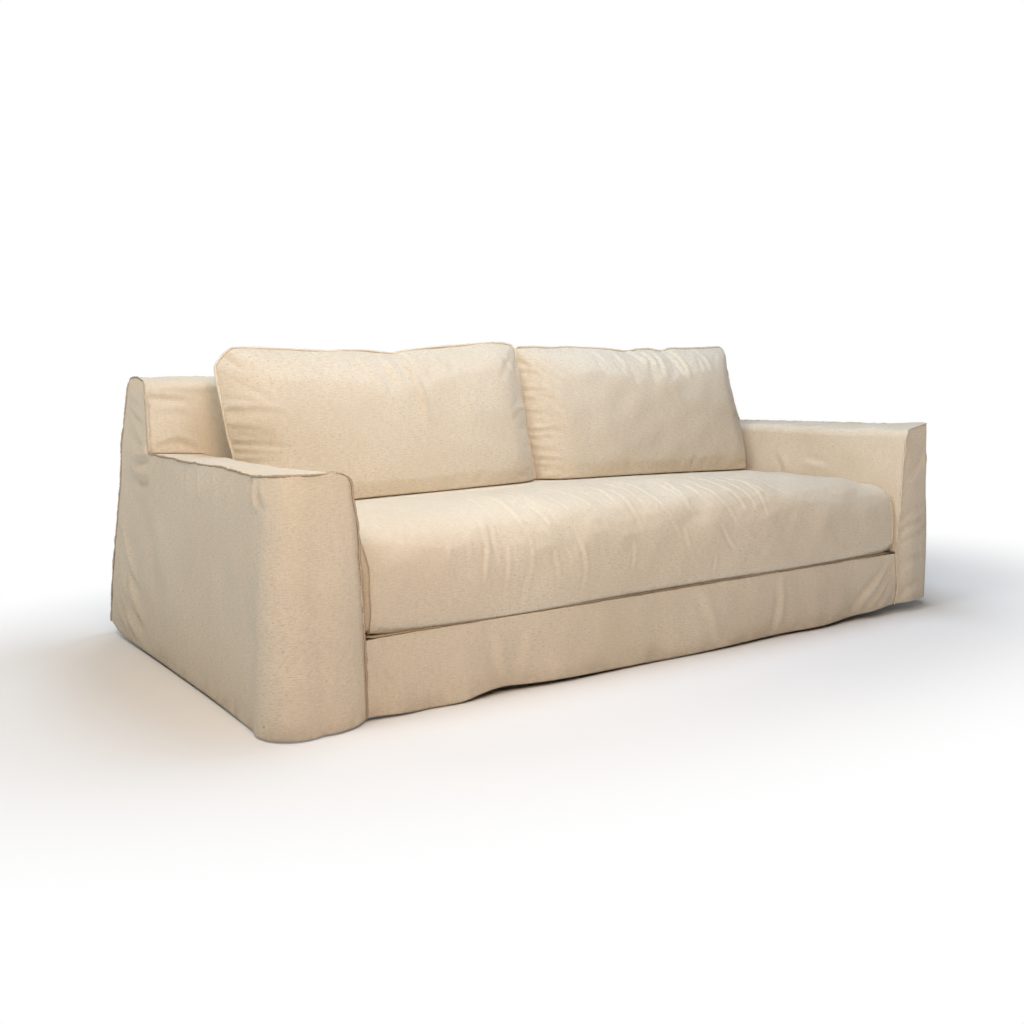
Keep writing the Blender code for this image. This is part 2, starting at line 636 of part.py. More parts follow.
def main():
    sides = {"left": LEFT, "right": RIGHT}
    outer = {name: arm_side_grid(side) for name, side in sides.items()}
    inner = {name: arm_inner_grid(side) for name, side in sides.items()}
    for name, side in sides.items():
        sign = side["sign"]
        panel = trimmed(outer[name], first=WELT_TRIM, last=WELT_TRIM, high=WELT_TRIM)
        sheet("arm_side_" + name, panel, (sign, -0.3, 0))
        panel = trimmed(inner[name], first=GAP, last=WELT_TRIM, low=WELT_TRIM, high=GAP)
        sheet("arm_inner_" + name, panel, (-sign, 0, 1))
        columns = outer[name]
        seam = columns[0][:-1] + [column[-1] for column in columns] + columns[-1][-2::-1]
        welt("welt_" + name, seam)

    inside = back_inside_grid(inner["left"][0], inner["right"][0])
    panel = trimmed(inside, first=WELT_TRIM, last=WELT_TRIM, low=GAP, high=WELT_TRIM)
    sheet("back_inside", panel, (0, -1, 0.5))

    outside = back_outside_grid(outer["left"][0], outer["right"][0])
    panel = trimmed(outside, first=WELT_TRIM, last=WELT_TRIM, high=WELT_TRIM)
    sheet("back_outside", panel, (0, 1, 0))
    top_edge = [column[-1] for column in outside]
    welt("welt_back", welt_ends(top_edge, 2 * WELT_RADIUS + GAP))

    below = SKIRT_CELLS + 1
    skirt = skirt_grid(outer["left"][-1][:below], outer["right"][-1][:below])
    sheet("front_skirt", trimmed(skirt, first=WELT_TRIM, last=WELT_TRIM), (0, -1, 0))

    platform = deck_grid(inner["left"], inner["right"])
    edge = CLOTH + GAP
    panel = trimmed(platform, first=edge, last=edge, low=edge + SKIRT_SETBACK, high=GAP)
    sheet("deck", panel, (0, 0, 1))

    pad("seat_cushion", len(SEAT_ACROSS) - 1, len(SEAT_BACK) - 1, len(SEAT_UP) - 1, seat_place)
    for name, edges, forward, outer_end in (
            ("left", LEFT_CUSHION, LEFT_FORWARD, 0), ("right", RIGHT_CUSHION, RIGHT_FORWARD, 1)):
        place = back_cushion_place(*edges, forward, outer_end)
        pad("back_cushion_" + name, len(BACK_ACROSS) - 1, 2, len(BACK_UP) - 1, place)


main()
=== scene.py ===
# Slipcover of a long sofa in washed linen: fine panels with their folds, turned seams,
# filled cushions with their creases, weave, flecks and soiled hems.
import bpy
import bmesh
import json
import numpy as np
from math import cos, pi, radians, sin
from mathutils import Matrix, Vector


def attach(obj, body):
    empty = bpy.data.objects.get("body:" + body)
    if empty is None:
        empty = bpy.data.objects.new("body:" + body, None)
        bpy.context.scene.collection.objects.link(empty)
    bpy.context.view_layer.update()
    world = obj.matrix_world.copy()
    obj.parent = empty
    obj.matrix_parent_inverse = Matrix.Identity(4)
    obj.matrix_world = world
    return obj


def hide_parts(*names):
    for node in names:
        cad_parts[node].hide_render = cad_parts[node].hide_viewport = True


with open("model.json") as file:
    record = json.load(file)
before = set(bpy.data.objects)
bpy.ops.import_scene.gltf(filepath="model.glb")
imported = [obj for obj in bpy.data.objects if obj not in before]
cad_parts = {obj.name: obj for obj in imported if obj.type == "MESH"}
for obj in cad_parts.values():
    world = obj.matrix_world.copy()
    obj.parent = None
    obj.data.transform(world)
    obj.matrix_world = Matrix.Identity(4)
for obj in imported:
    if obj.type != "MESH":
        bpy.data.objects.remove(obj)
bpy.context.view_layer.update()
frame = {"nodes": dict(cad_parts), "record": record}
print("frame loaded:", len(frame["nodes"]), "nodes")
bpy.context.scene.view_settings.view_transform = "Standard"


# Shared helpers

def placed(name, data):
    thing = bpy.data.objects.new(name, data)
    bpy.context.collection.objects.link(thing)
    return thing


def openMesh(mesh):
    bm = bmesh.new()
    bm.from_mesh(mesh)
    return bm


def closeMesh(bm, mesh):
    bm.to_mesh(mesh)
    bm.free()
    return mesh


# Camera, floor and light

view = {
    "place": (-2.268, -3.0732, 0.895),
    "turn": 34.896,         # degrees from +Y towards +X
    "tilt": -8.1736,
    "roll": -0.3083,
    "lens": 42.41,
    "sensor": 36.0,
}
lamps = [
    # name, place, aimed at, size, power, colour
    ("key", (-1.4, -2.4, 2.2), (0.1, 0.0, 0.4), 1.2, 38, (1.0, 0.71, 0.48)),
    ("sky", (0.5, -0.1, 3.2), (0.1, 0.0, 0.0), 2.0, 59, (0.7, 0.83, 1.0)),
    ("upper", (-2.2, -0.6, 2.8), (0.2, 0.0, 0.4), 1.0, 34, (0.92, 0.92, 0.88)),
    ("rear", (1.2, 4.2, 1.8), (0.0, 0.5, 0.4), 2.4, 68, (0.95, 1.0, 1.0)),
    ("inner", (-0.7, -1.0, 1.4), (1.0, -0.2, 0.4), 0.6, 3.0, (0.7, 0.88, 1.0)),
    ("leftRear", (-2.7, 1.9, 2.0), (-1.1, 0.0, 0.4), 0.7, 9, (1.0, 0.86, 0.7)),
]
world = {"ambient": (0.01, 0.01, 0.01), "backdrop": (1.0, 1.0, 1.0)}
floor = {
    "radius": 14.0,
    "colour": (0.86, 0.86, 0.86),
    "roughness": 0.9,
    "specular": 0.1,
    "squeeze": 0.6,         # the bright ground is an oval, longer along the sofa
    "fadeStart": 0.7,
    "fadeEnd": 1.6,
    "drop": 0.003,
}


def addCamera():
    camera = placed("camera", bpy.data.cameras.new("camera"))
    camera.data.lens = view["lens"]
    camera.data.sensor_width = view["sensor"]
    turn = Matrix.Rotation(radians(-view["turn"]), 4, "Z")
    tilt = Matrix.Rotation(radians(90 + view["tilt"]), 4, "X")
    roll = Matrix.Rotation(radians(view["roll"]), 4, "Z")
    camera.matrix_world = Matrix.Translation(view["place"]) @ turn @ tilt @ roll
    bpy.context.scene.camera = camera


def addLamps():
    for name, place, target, size, power, colour in lamps:
        lamp = bpy.data.lights.new(name, "AREA")
        lamp.shape = "DISK"
        lamp.size, lamp.energy, lamp.color = size, power, colour
        holder = placed(name, lamp)
        holder.location = place
        holder.rotation_euler = (Vector(target) - Vector(place)).to_track_quat("-Z", "Y").to_euler()


# Shader maths: a socket that can be added, subtracted and multiplied

def feed(tree, slot, value):
    if isinstance(value, Socket):
        tree.links.new(value.socket, slot)
    else:
        slot.default_value = value


class Socket:
    def __init__(self, tree, socket):
        self.tree, self.socket = tree, socket

    def maths(self, operation, *values):
        node = self.tree.nodes.new("ShaderNodeMath")
        node.operation = operation
        for slot, value in zip(node.inputs, values):
            feed(self.tree, slot, value)
        return Socket(self.tree, node.outputs[0])

    def __add__(self, other):
        return self.maths("ADD", self, other)

    def __radd__(self, other):
        return self.maths("ADD", other, self)

    def __sub__(self, other):
        return self.maths("SUBTRACT", self, other)

    def __rsub__(self, other):
        return self.maths("SUBTRACT", other, self)

    def __mul__(self, other):
        return self.maths("MULTIPLY", self, other)

    def __rmul__(self, other):
        return self.maths("MULTIPLY", other, self)

    # 0 below low, 1 above high, soft between
    def band(self, low, high):
        node = self.tree.nodes.new("ShaderNodeMapRange")
        node.interpolation_type = "SMOOTHSTEP"
        for name, value in (("Value", self), ("From Min", low), ("From Max", high)):
            feed(self.tree, node.inputs[name], value)
        return Socket(self.tree, node.outputs["Result"])


class Shader:
    def __init__(self, name):
        self.material = bpy.data.materials.new(name)
        self.material.use_nodes = True
        self.tree = self.material.node_tree
        self.surface = self.tree.nodes["Principled BSDF"]

    # One node of a kind, its settings first and then its sockets: by name, or i0, i6 by number
    def add(self, kind, settings=None, output=0, **values):
        node = self.tree.nodes.new("ShaderNode" + kind)
        for name, value in (settings or {}).items():
            setattr(node, name, value)
        for name, value in values.items():
            key = name.replace("_", " ")
            slot = node.inputs[key] if key in node.inputs else node.inputs[int(name[1:])]
            feed(self.tree, slot, value)
        return Socket(self.tree, node.outputs[output])

    def finish(self, **values):
        for name, value in values.items():
            feed(self.tree, self.surface.inputs[name.replace("_", " ")], value)

    def mix(self, factor, first, second):
        return self.add("Mix", {"data_type": "RGBA"}, 2, i0=factor, i6=first, i7=second)

    def clamped(self, value):
        return self.add("Clamp", None, 0, Value=value)

    def noise(self, vector, scale, detail=2.0, roughness=0.5):
        return self.add("TexNoise", None, 0, Vector=vector, Scale=scale, Detail=detail, Roughness=roughness)

    def stretched(self, vector, across, along):
        return self.add("VectorMath", {"operation": "MULTIPLY"}, 0, i0=vector, i1=(across, along, 1.0))


# Linen

linen = {
    "pale": (0.84, 0.765, 0.635, 1.0),
    "oat": (0.63, 0.535, 0.41, 1.0),
    "fleck": (0.33, 0.235, 0.145, 1.0),
    "soil": (0.33, 0.275, 0.205, 1.0),
    "speck": (0.11, 0.075, 0.045, 1.0),
    # the seam's dark line: the colour of its raw edge and thread, also used as painted shade along the flange
    "thread": (0.34, 0.235, 0.15, 1.0),
    "weave": (                      # features a metre along the weft and across it, detail, roughness, share
        (52.0, 360.0, 3.0, 0.6, 1.25),
        (150.0, 640.0, 2.0, 0.6, 0.75),
        (380.0, 26.0, 2.0, 0.5, 0.5),
        (300.0, 300.0, 1.0, 0.5, 0.6),
    ),
    "mottle": 3.0,                  # clouds of paler and darker cloth, a metre
    "mottleShare": 0.9,
    "fleckScale": (85.0, 420.0),
    "fleckBand": (0.58, 0.74),
    "fleckShare": 0.42,
    "patches": 6.0,                 # where the flecks are denser
    "patchBand": (0.3, 0.62),
    "soilScale": 14.0,
    "soilBand": (0.3, 0.72),
    "soilShare": 0.6,
    "spotCore": 0.4,
    "spotShare": 0.9,
    "frayScale": 130.0,
    "frayBand": (0.22, 0.5),
    "frayShare": 0.4,
    "roughness": 0.95,
    "specular": 0.15,
    "sheen": 0.1,
    "sheenRoughness": 0.5,
    "relief": 0.3,
    "bump": 0.3,
    "bumpHeight": 0.0008,
}
spots = [
    # place, radius
    ((-1.199, -0.611, 0.168), 0.006),
    ((-1.07, -0.645, 0.094), 0.005),
    ((-1.225, -0.599, 0.031), 0.005),
]


# a lift above 0 makes a paler copy of the linen: painted highlight, used for the seams and piping
def makeLinen(name, paintedHighlight=0.0):
    shader = Shader(name)
    cloth = shader.add("UVMap", {"uv_map": "cloth"})
    here = shader.add("TexCoord", None, 3)
    threads, middle = [], sum(row[-1] for row in linen["weave"]) / 2
    for across, along, detail, roughness, share in linen["weave"]:
        threads.append((shader.noise(shader.stretched(cloth, across, along), 1.0, detail, roughness), share))
    weave = threads[0][0] * threads[0][1]
    for thread, share in threads[1:]:
        weave = weave + thread * share
    mottle = shader.noise(here, linen["mottle"], 4.0, 0.55)
    # the lift pales the whole cloth: painted highlight
    shade = weave - (middle - 0.5 - paintedHighlight) + (mottle - 0.5) * linen["mottleShare"]
    colour = shader.mix(shader.clamped(shade), linen["oat"], linen["pale"])
    # brown flecks of bast in the yarn, denser in places
    fleckNoise = shader.noise(shader.stretched(cloth, *linen["fleckScale"]), 1.0, 1.0, 0.4)
    patches = shader.noise(here, linen["patches"], 2.0)
    flecks = fleckNoise.band(*linen["fleckBand"]) * patches.band(*linen["patchBand"])
    colour = shader.mix(flecks * linen["fleckShare"], colour, linen["fleck"])
    soil = shader.add("Attribute", {"attribute_name": "soil"}, 2)
    dirt = soil * shader.noise(here, linen["soilScale"], 4.0, 0.65).band(*linen["soilBand"])
    colour = shader.mix(shader.clamped(dirt) * linen["soilShare"], colour, linen["soil"])
    for place, radius in spots:
        gap = shader.add("VectorMath", {"operation": "DISTANCE"}, 1, i0=here, i1=place)
        spot = (1.0 - gap.band(radius * linen["spotCore"], radius)) * linen["spotShare"]
        colour = shader.mix(spot, colour, linen["speck"])
    # raw edge of a seam in thread colour, with painted shade at the flange's root and raw edge
    edge = shader.add("Attribute", {"attribute_name": "edge"}, 2)
    fray = shader.noise(here, linen["frayScale"], 2.0).band(*linen["frayBand"])
    fray = fray * linen["frayShare"] + (1 - linen["frayShare"])
    colour = shader.mix(edge * fray, colour, linen["thread"])
    bump = shader.add("Bump", None, 0, Strength=linen["bump"], Distance=linen["bumpHeight"],
                      Height=weave * linen["relief"])
    shader.finish(Base_Color=colour, Roughness=linen["roughness"], Specular_IOR_Level=linen["specular"],
                  Sheen_Weight=linen["sheen"], Sheen_Roughness=linen["sheenRoughness"], Normal=bump)
    return shader.material


# Curves and easing

# Smooth curve through (position, value) rows, level past both ends
def curve(table, at):
    if at <= table[0][0]:
        return table[0][1]
    if at >= table[-1][0]:
        return table[-1][1]
    row = max(k for k in range(len(table) - 1) if table[k][0] <= at)

    def slope(k):
        low, high = max(k - 1, 0), min(k + 1, len(table) - 1)
        return (table[high][1] - table[low][1]) / (table[high][0] - table[low][0])

    (start, first), (end, second) = table[row], table[row + 1]
    span = end - start
    t = (at - start) / span
    ease = t * t * (3 - 2 * t)
    bend = t * (1 - t) * span * ((1 - t) * slope(row) - t * slope(row + 1))
    return first + (second - first) * ease + bend


def mix(a, b, t):
    return a + (b - a) * t


def ramp(value):
    return max(0.0, min(1.0, value))


def easeEnds(t, reach):
    return ramp(t / reach) * ramp((1 - t) / reach)


def steps(count):
    return [k / count for k in range(count + 1)]


# Shape of the base cover, in metres

cover = {
    "cloth": 0.002,
    "halfWidth": 1.186,
    "frontY": -0.61,
    "cornerRadius": 0.08,
    "joinY": 0.268,
    "joinZ": 0.58,
    "joinHemY": 0.223,
    "backLean": 0.26,
    "faceTopZ": 0.742,
    "deckZ": 0.196,
    "skirtSetback": 0.006,
    "armTopZ": 0.6,
    "rearEase": 0.25,
    "edgeFade": 0.09,
    "seamGap": 0.0014,      # from the seam line to a panel's edge, where a flange stands over it
    "panelGap": 0.0008,     # and where panels only meet
    "deckGap": 0.012,
    "deckDrop": 0.0002,
    "skirtFade": 0.07,
}
# (distance over the top of the back, y) and (distance, z)
backTopY = ((0.0, 0.3101), (0.023, 0.314), (0.044, 0.33), (0.08, 0.365), (0.125, 0.41), (0.168, 0.453))
backTopZ = ((0.0, 0.742), (0.023, 0.765), (0.044, 0.779), (0.08, 0.787), (0.125, 0.79), (0.168, 0.786))
rearEdge = (
    (0.0, 0.643), (0.17, 0.615), (0.42, 0.552), (0.6, 0.512), (0.66, 0.507), (0.72, 0.506), (0.79, 0.494),
    (0.89, 0.474), (1.0, 0.453),
)
left = {
    "name": "left",
    "sign": -1,
    "seam": (
        (-0.61, 0.594), (-0.49, 0.587), (-0.41, 0.589), (-0.32, 0.591), (-0.2, 0.588), (0.1, 0.585),
        (0.27, 0.582),
    ),
    "crown": 0.003,
    "innerDrop": ((0.0, 0.0), (0.14, -0.004), (0.33, -0.012), (0.6, -0.017), (1.0, -0.02)),
    "topTuck": 0.0,
    "bow": 0.0,
    "creaseGain": 2.6,
    "cornerFlat": 0.0,
    "front": ((0.0, 0.594), (0.5, 0.594), (0.8, 0.597), (1.0, 0.593)),
    "arm": ((0.0, 0.214), (0.2, 0.212), (0.34, 0.206), (0.48, 0.199), (0.53, 0.19), (0.6, 0.185)),
    "sideHem": ((-0.65, 0.0), (-0.2, 0.002), (0.3, 0.004), (0.56, 0.012), (0.64, 0.034)),
    "frontHem": ((0.0, 0.0), (0.6, 0.001), (1.0, 0.004)),
    "sideFlare": ((-0.61, 0.044), (-0.45, 0.034), (-0.15, 0.021), (0.27, 0.011), (0.64, 0.009)),
    "frontFlare": ((0.0, 0.042), (0.3, 0.045), (0.7, 0.03), (1.0, 0.0)),
    "cornerFlare": 0.024,
    "edgeRound": 0.028,
    "seamIn": ((0.1, 0.0), (0.268, 0.008)),
    "backIn": ((0.3, 0.0), (0.58, 0.008), (0.7, 0.017), (0.765, 0.022), (0.79, 0.03)),
}
right = {
    "name": "right",
    "sign": 1,
    "seam": (
        (-0.61, 0.613), (-0.54, 0.604), (-0.45, 0.599), (-0.2, 0.59), (0.03, 0.583), (0.27, 0.576),
    ),
    "front": ((0.0, 0.613), (0.4, 0.607), (1.0, 0.598)),
    "crown": 0.002,
    "innerDrop": ((0.0, 0.0), (0.3, -0.01), (1.0, -0.022)),
    "topTuck": 0.022,
    "bow": 0.015,
    "creaseGain": 1.2,
    "cornerFlat": 0.9,
    "arm": ((0.0, 0.209), (0.1, 0.2), (0.2, 0.213), (0.3, 0.203), (0.42, 0.196), (0.6, 0.182)),
    "sideHem": ((-0.65, 0.03), (-0.3, 0.014), (0.1, 0.003), (0.64, 0.016)),
    "frontHem": ((0.0, 0.03), (1.0, 0.025)),
    "sideFlare": ((-0.61, 0.006), (-0.3, 0.018), (0.1, 0.028), (0.64, 0.022)),
    "frontFlare": ((0.0, 0.006), (0.5, 0.014), (1.0, 0.0)),
    "cornerFlare": -0.006,
    "edgeRound": 0.024,
    "seamIn": ((-0.1, 0.0), (0.08, 0.012), (0.268, 0.044)),
    "backIn": (
        (0.2, 0.0), (0.4, 0.02), (0.58, 0.044), (0.645, 0.056), (0.7, 0.063), (0.79, 0.068),
    ),
}
cells = {
    "post": 25, "overTop": 26, "arm": 112, "corner": 18, "across": 18, "arc": 6, "inside": 54,
    "skirt": 28, "middle": 230, "back": 280, "skirtAcross": 380, "deck": 60,
}


def faceY(z):
    return cover["joinY"] + (z - cover["joinZ"]) * cover["backLean"]


def endX(side, z):
    return cover["halfWidth"] - curve(side["backIn"], z)


def seamX(side, y):
    return cover["halfWidth"] - curve(side["seamIn"], y)


def innerX(side, z):
    return cover["halfWidth"] - curve(side["arm"], z)


# (y, z) from the arm joint up the back's face and over its top to the rear seam
def backOutline():
    heights = [mix(cover["joinZ"], cover["faceTopZ"], t) for t in steps(cells["post"])]
    over = [backTopY[-1][0] * t for t in steps(cells["overTop"])[1:]]
    return [(faceY(z), z) for z in heights] + [(curve(backTopY, s), curve(backTopZ, s)) for s in over]


# Seam over the arm front, round its inner edge and down to the deck
def frontSeam(side):
    sign, radius = side["sign"], side["edgeRound"]
    top = curve(side["front"], 1.0)
    outer = cover["halfWidth"] - cover["cornerRadius"]
    inner = innerX(side, top) + radius
    points = [Vector((sign * mix(outer, inner, t), cover["frontY"], curve(side["front"], t)))
              for t in steps(cells["across"])]
    for t in steps(cells["arc"])[1:-1]:
        angle = pi / 2 * t
        place = inner - radius * sin(angle), top - radius * (1 - cos(angle))
        points.append(Vector((sign * place[0], cover["frontY"], place[1])))
    for t in steps(cells["inside"]):
        z = mix(top - radius, cover["deckZ"], t)
        points.append(Vector((sign * innerX(side, z), cover["frontY"], z)))
    return points


def cornerPoint(side, angle, spread=0.0):
    radius = cover["cornerRadius"]
    centre = cover["halfWidth"] - radius, cover["frontY"] + radius
    reach = radius + spread
    return side["sign"] * (centre[0] + reach * cos(angle)), centre[1] - reach * sin(angle)


# (y, angle round the front corner) along the arm, rear to front
def armStations():
    cornerY = cover["frontY"] + cover["cornerRadius"]
    along = [(mix(cover["joinY"], cornerY, t), None) for t in steps(cells["arm"])]
    turns = [pi / 2 * t for t in steps(cells["corner"])[1:]]
    return along + [(cornerY - cover["cornerRadius"] * sin(angle), angle) for angle in turns]


def hemPoint(side, y):
    x = cover["halfWidth"] + curve(side["sideFlare"], y)
    return Vector((side["sign"] * x, y, curve(side["sideHem"], y)))


# Seam point over the outer front corner
def cornerTop(side, y, angle):
    height = mix(curve(side["seam"], y), curve(side["front"], 0), angle / (pi / 2))
    return Vector((*cornerPoint(side, angle, -side["topTuck"] * sin(2 * angle)), height))


# Rows of (point of the outer panel's seam, point of the hem under it), rear to front
def outerSeam(side):
    sign, half = side["sign"], cover["halfWidth"]
    cornerY = cover["frontY"] + cover["cornerRadius"]
    rows = []
    outline = backOutline()[::-1]
    for k, (y, z) in enumerate(outline):
        foot = hemPoint(side, mix(rearEdge[0][1], cover["joinHemY"], k / (len(outline) - 1)))
        rows.append((Vector((sign * endX(side, z), y, z)), foot))
    for y, angle in armStations()[1:]:
        if angle is None:
            share = (cover["joinY"] - y) / (cover["joinY"] - cornerY)
            foot = hemPoint(side, mix(cover["joinHemY"], cornerY, share))
            top = Vector((sign * seamX(side, y), y, curve(side["seam"], y)))
        else:
            turned = angle / (pi / 2)
            flare = mix(curve(side["sideFlare"], y), curve(side["frontFlare"], 0), turned)
            flare += side["cornerFlare"] * sin(2 * angle)
            foot = Vector((*cornerPoint(side, angle, flare), curve(side["sideHem"], y)))
            top = cornerTop(side, y, angle)
        rows.append((top, foot))
    over = frontSeam(side)[1:cells["across"] + cells["arc"] // 2 + 1]
    for k, top in enumerate(over):
        across = (k + 1) / len(over)
        footX = sign * mix(half - cover["cornerRadius"], innerX(side, 0), across)
        footY = cover["frontY"] - curve(side["frontFlare"], across)
        rows.append((top, Vector((footX, footY, curve(side["frontHem"], across)))))
    return rows


# The arm front's inner edge from the hem up to the seam's turn
def innerEdge(side):
    seam = frontSeam(side)
    turn = cells["across"] + cells["arc"] // 2
    foot = outerSeam(side)[-1][1]
    below = []
    for t in steps(cells["skirt"])[:-1]:
        z = mix(foot.z, cover["deckZ"], t)
        x = side["sign"] * innerX(side, z)
        below.append(Vector((x, mix(foot.y, cover["frontY"], t), z)))
    return below + seam[turn:][::-1]


# The outer arm panel: columns from the rear edge round to the front's inner edge, each from its hem up
def armSideGrid(side):
    rows, edge = outerSeam(side), innerEdge(side)
    hem, top = edge[0].z, edge[-1].z
    levels = [(point.z - hem) / (top - hem) for point in edge]
    back = len(backOutline()) - 1
    grid = []
    for c, (seamPoint, foot) in enumerate(rows[:-1]):
        column = []
        for level in levels:
            point = foot.lerp(seamPoint, level)
            if c <= back:
                straight = mix(rearEdge[0][1], rearEdge[-1][1], level)
                point.y += (curve(rearEdge, level) - straight) * (1 - c / back)
                flare = curve(side["sideFlare"], foot.y) * max(0.0, 1 - point.z / cover["joinZ"])
                point.x = side["sign"] * (endX(side, point.z) + flare)
            else:
                outward = (abs(point.x) - cover["halfWidth"]) / cover["cornerRadius"] + 1
                point.x += side["sign"] * side["bow"] * sin(pi * level) * min(1, max(0, outward))
            column.append(point)
        grid.append(column)
    return grid + [edge]


# Arm top and inside arm: columns from the rear to the front, each from the outer seam in and down
def armInnerGrid(side):
    sign, across = side["sign"], cells["across"]
    seam = frontSeam(side)
    innerTop = seam[across].z
    length = cover["joinY"] - cover["frontY"]
    grid = []
    for y, angle in armStations():
        away = (y - cover["frontY"]) / length
        if angle is None:
            outer = Vector((sign * seamX(side, y), y, curve(side["seam"], y)))
        else:
            outer = cornerTop(side, y, angle)
        droop = curve(side["innerDrop"], away)
        column = []
        for k, point in enumerate(seam):
            place = point.copy()
            if k <= across:
                share = k / across
                place.x = mix(outer.x, seam[across].x, share)
                level = mix(outer.z, innerTop + droop, share)
                puff = side["crown"] * sin(pi * share) * easeEnds(away, cover["rearEase"])
                place.z = mix(point.z, level, ramp(away / cover["rearEase"])) + puff
            else:
                place.z += droop * (1 - ramp((innerTop - point.z) / (innerTop - cover["deckZ"])))
            reach = (min(faceY(place.z), cover["joinY"]) - cover["frontY"]) / length
            fromFront = mix(outer.y, y, min(1, k / across)) - cover["frontY"]
            place.y = cover["frontY"] + fromFront * (1 if k == 0 else reach)
            column.append(place)
        grid.append(column)
    return grid


# The inside back, from the arms' and the deck's rear edges up over the top
def backInsideGrid(leftRear, rightRear):
    outline = backOutline()
    bottoms = list(leftRear)
    bottoms += [leftRear[-1].lerp(rightRear[-1], t) for t in steps(cells["middle"])[1:-1]]
    bottoms += rightRear[::-1]
    last = len(bottoms) - 1
    grid = []
    for c, bottom in enumerate(bottoms):
        column = []
        for r, (y, z) in enumerate(outline):
            topX = mix(-endX(left, z), endX(right, z), c / last)
            if r > cells["post"]:
                column.append(Vector((topX, y, z)))
                continue
            up = r / cells["post"]
            z = mix(bottom.z, cover["faceTopZ"], up)
            lowX, highX = -endX(left, z), endX(right, z)
            x = max(lowX, min(highX, mix(bottom.x, topX, up)))
            x = {0: lowX, last: highX}.get(c, x)
            column.append(Vector((x, faceY(z), z)))
        grid.append(column)
    return grid


# A panel from one upright edge to another: shape moves each point, given its level from the hem up,
# how far its edges let it go, and how far its hem is from the table's height
def spanGrid(startEdge, endEdge, count, fade, hemTable, shape):
    grid = []
    for t in steps(count):
        inside = easeEnds(t, fade)
        column = []
        for r, (start, end) in enumerate(zip(startEdge, endEdge)):
            point = start.lerp(end, t)
            hem = curve(hemTable, point.x) - mix(startEdge[0].z, endEdge[0].z, t)
            shape(point, r / (len(startEdge) - 1), inside, hem)
            column.append(point)
        grid.append(column)
    return grid


backHem = ((-1.19, 0.034), (-0.95, 0.016), (-0.4, 0.004), (0.1, 0.01), (0.6, 0.002), (1.19, 0.016))


def shapeBackOutside(point, level, inside, hem):
    point.z += (hem * (1 - level) + curve(seat["sag"], point.x) * level ** 2) * inside


skirtHem = (
    (-0.97, 0.004), (-0.86, 0.0), (-0.72, 0.0), (-0.65, 0.009), (-0.576, 0.013), (-0.5, 0.009),
    (-0.26, 0.004), (0.0, 0.0), (0.26, 0.004), (0.59, 0.005), (0.77, 0.012), (0.98, 0.025),
)
skirtFlare = (
    (-0.97, 0.0), (-0.9, 0.014), (-0.8, 0.004), (-0.7, 0.012), (-0.576, -0.004), (-0.4, 0.01),
    (-0.1, 0.004), (0.2, 0.012), (0.45, 0.002), (0.62, 0.012), (0.78, -0.002), (0.9, 0.014),
    (0.98, 0.0),
)


def shapeSkirt(point, level, inside, hem):
    point.z += hem * (1 - level) * inside
    point.y += (cover["skirtSetback"] * level - curve(skirtFlare, point.x) * (1 - level)) * inside


# Creases: each is a bent line over the cloth with a soft ridge on its left and a dip on its right.
# Rows of a table, all in millimetres: half width, rise, then the line's points as pairs

# The line with its corners cut, ends kept
def smoothLine(line, rounds=2):
    for _ in range(rounds):
        cut = np.empty((2 * (len(line) - 1), 2))
        cut[0::2] = 0.75 * line[:-1] + 0.25 * line[1:]
        cut[1::2] = 0.25 * line[:-1] + 0.75 * line[1:]
        line = np.concatenate([line[:1], cut, line[-1:]])
    return line


# Rise of the cloth at places given as two arrays. A rooted crease is full at its start
def creaseRise(across, along, table, rooted=False):
    flatAcross, flatAlong = across.ravel(), along.ravel()
    rise = np.zeros(flatAcross.size)
    for width, height, *points in table:
        width, height = width / 1000, height / 1000
        line = smoothLine(np.array(points).reshape(-1, 2) / 1000)
        low, high = line.min(axis=0) - 4 * width, line.max(axis=0) + 4 * width
        near = (flatAcross > low[0]) & (flatAcross < high[0]) & (flatAlong > low[1]) & (flatAlong < high[1])
        near = np.flatnonzero(near)
        if not len(near):
            continue
        x, y = flatAcross[near], flatAlong[near]
        nearest = np.full(len(near), 1e9)
        signed, share = np.zeros(len(near)), np.zeros(len(near))
        runs = np.diff(line, axis=0)
        lengths = np.hypot(runs[:, 0], runs[:, 1])
        before = 0.0
        for start, run, length in zip(line, runs, lengths):
            over, up = x - start[0], y - start[1]
            spot = np.clip((over * run[0] + up * run[1]) / length ** 2, 0, 1)
            gap = np.hypot(over - spot * run[0], up - spot * run[1])
            closer = gap < nearest
            side = np.sign(run[0] * up - run[1] * over)
            nearest[closer] = gap[closer]
            signed[closer] = (side * gap)[closer]
            share[closer] = ((before + spot * length) / lengths.sum())[closer]
            before += length
        share = np.clip(share, 0, 1)
        if rooted:
            taper = np.minimum(1, 0.3 + share / 0.1) * (1 - share) ** 0.8
        else:
            taper = np.maximum(0, np.sin(pi * share)) ** 0.6
        ridge = np.exp(-((signed - 0.7 * width) / width) ** 2)
        dip = np.exp(-((signed + 0.7 * width) / width) ** 2)
        rise[near] += height * taper * (ridge - dip)
    return rise.reshape(across.shape)


# Soft hollows and swells: centre, half width, half length, lean in degrees, rise
def dentRise(across, along, table):
    rise = np.zeros_like(across)
    for centre, width, length, lean, height in table:
        angle = radians(lean)
        over, up = across - centre[0], along - centre[1]
        wide = over * cos(angle) + up * sin(angle)
        long = up * cos(angle) - over * sin(angle)
        rise += height * np.exp(-(wide / width) ** 2 - (long / length) ** 2)
    return rise


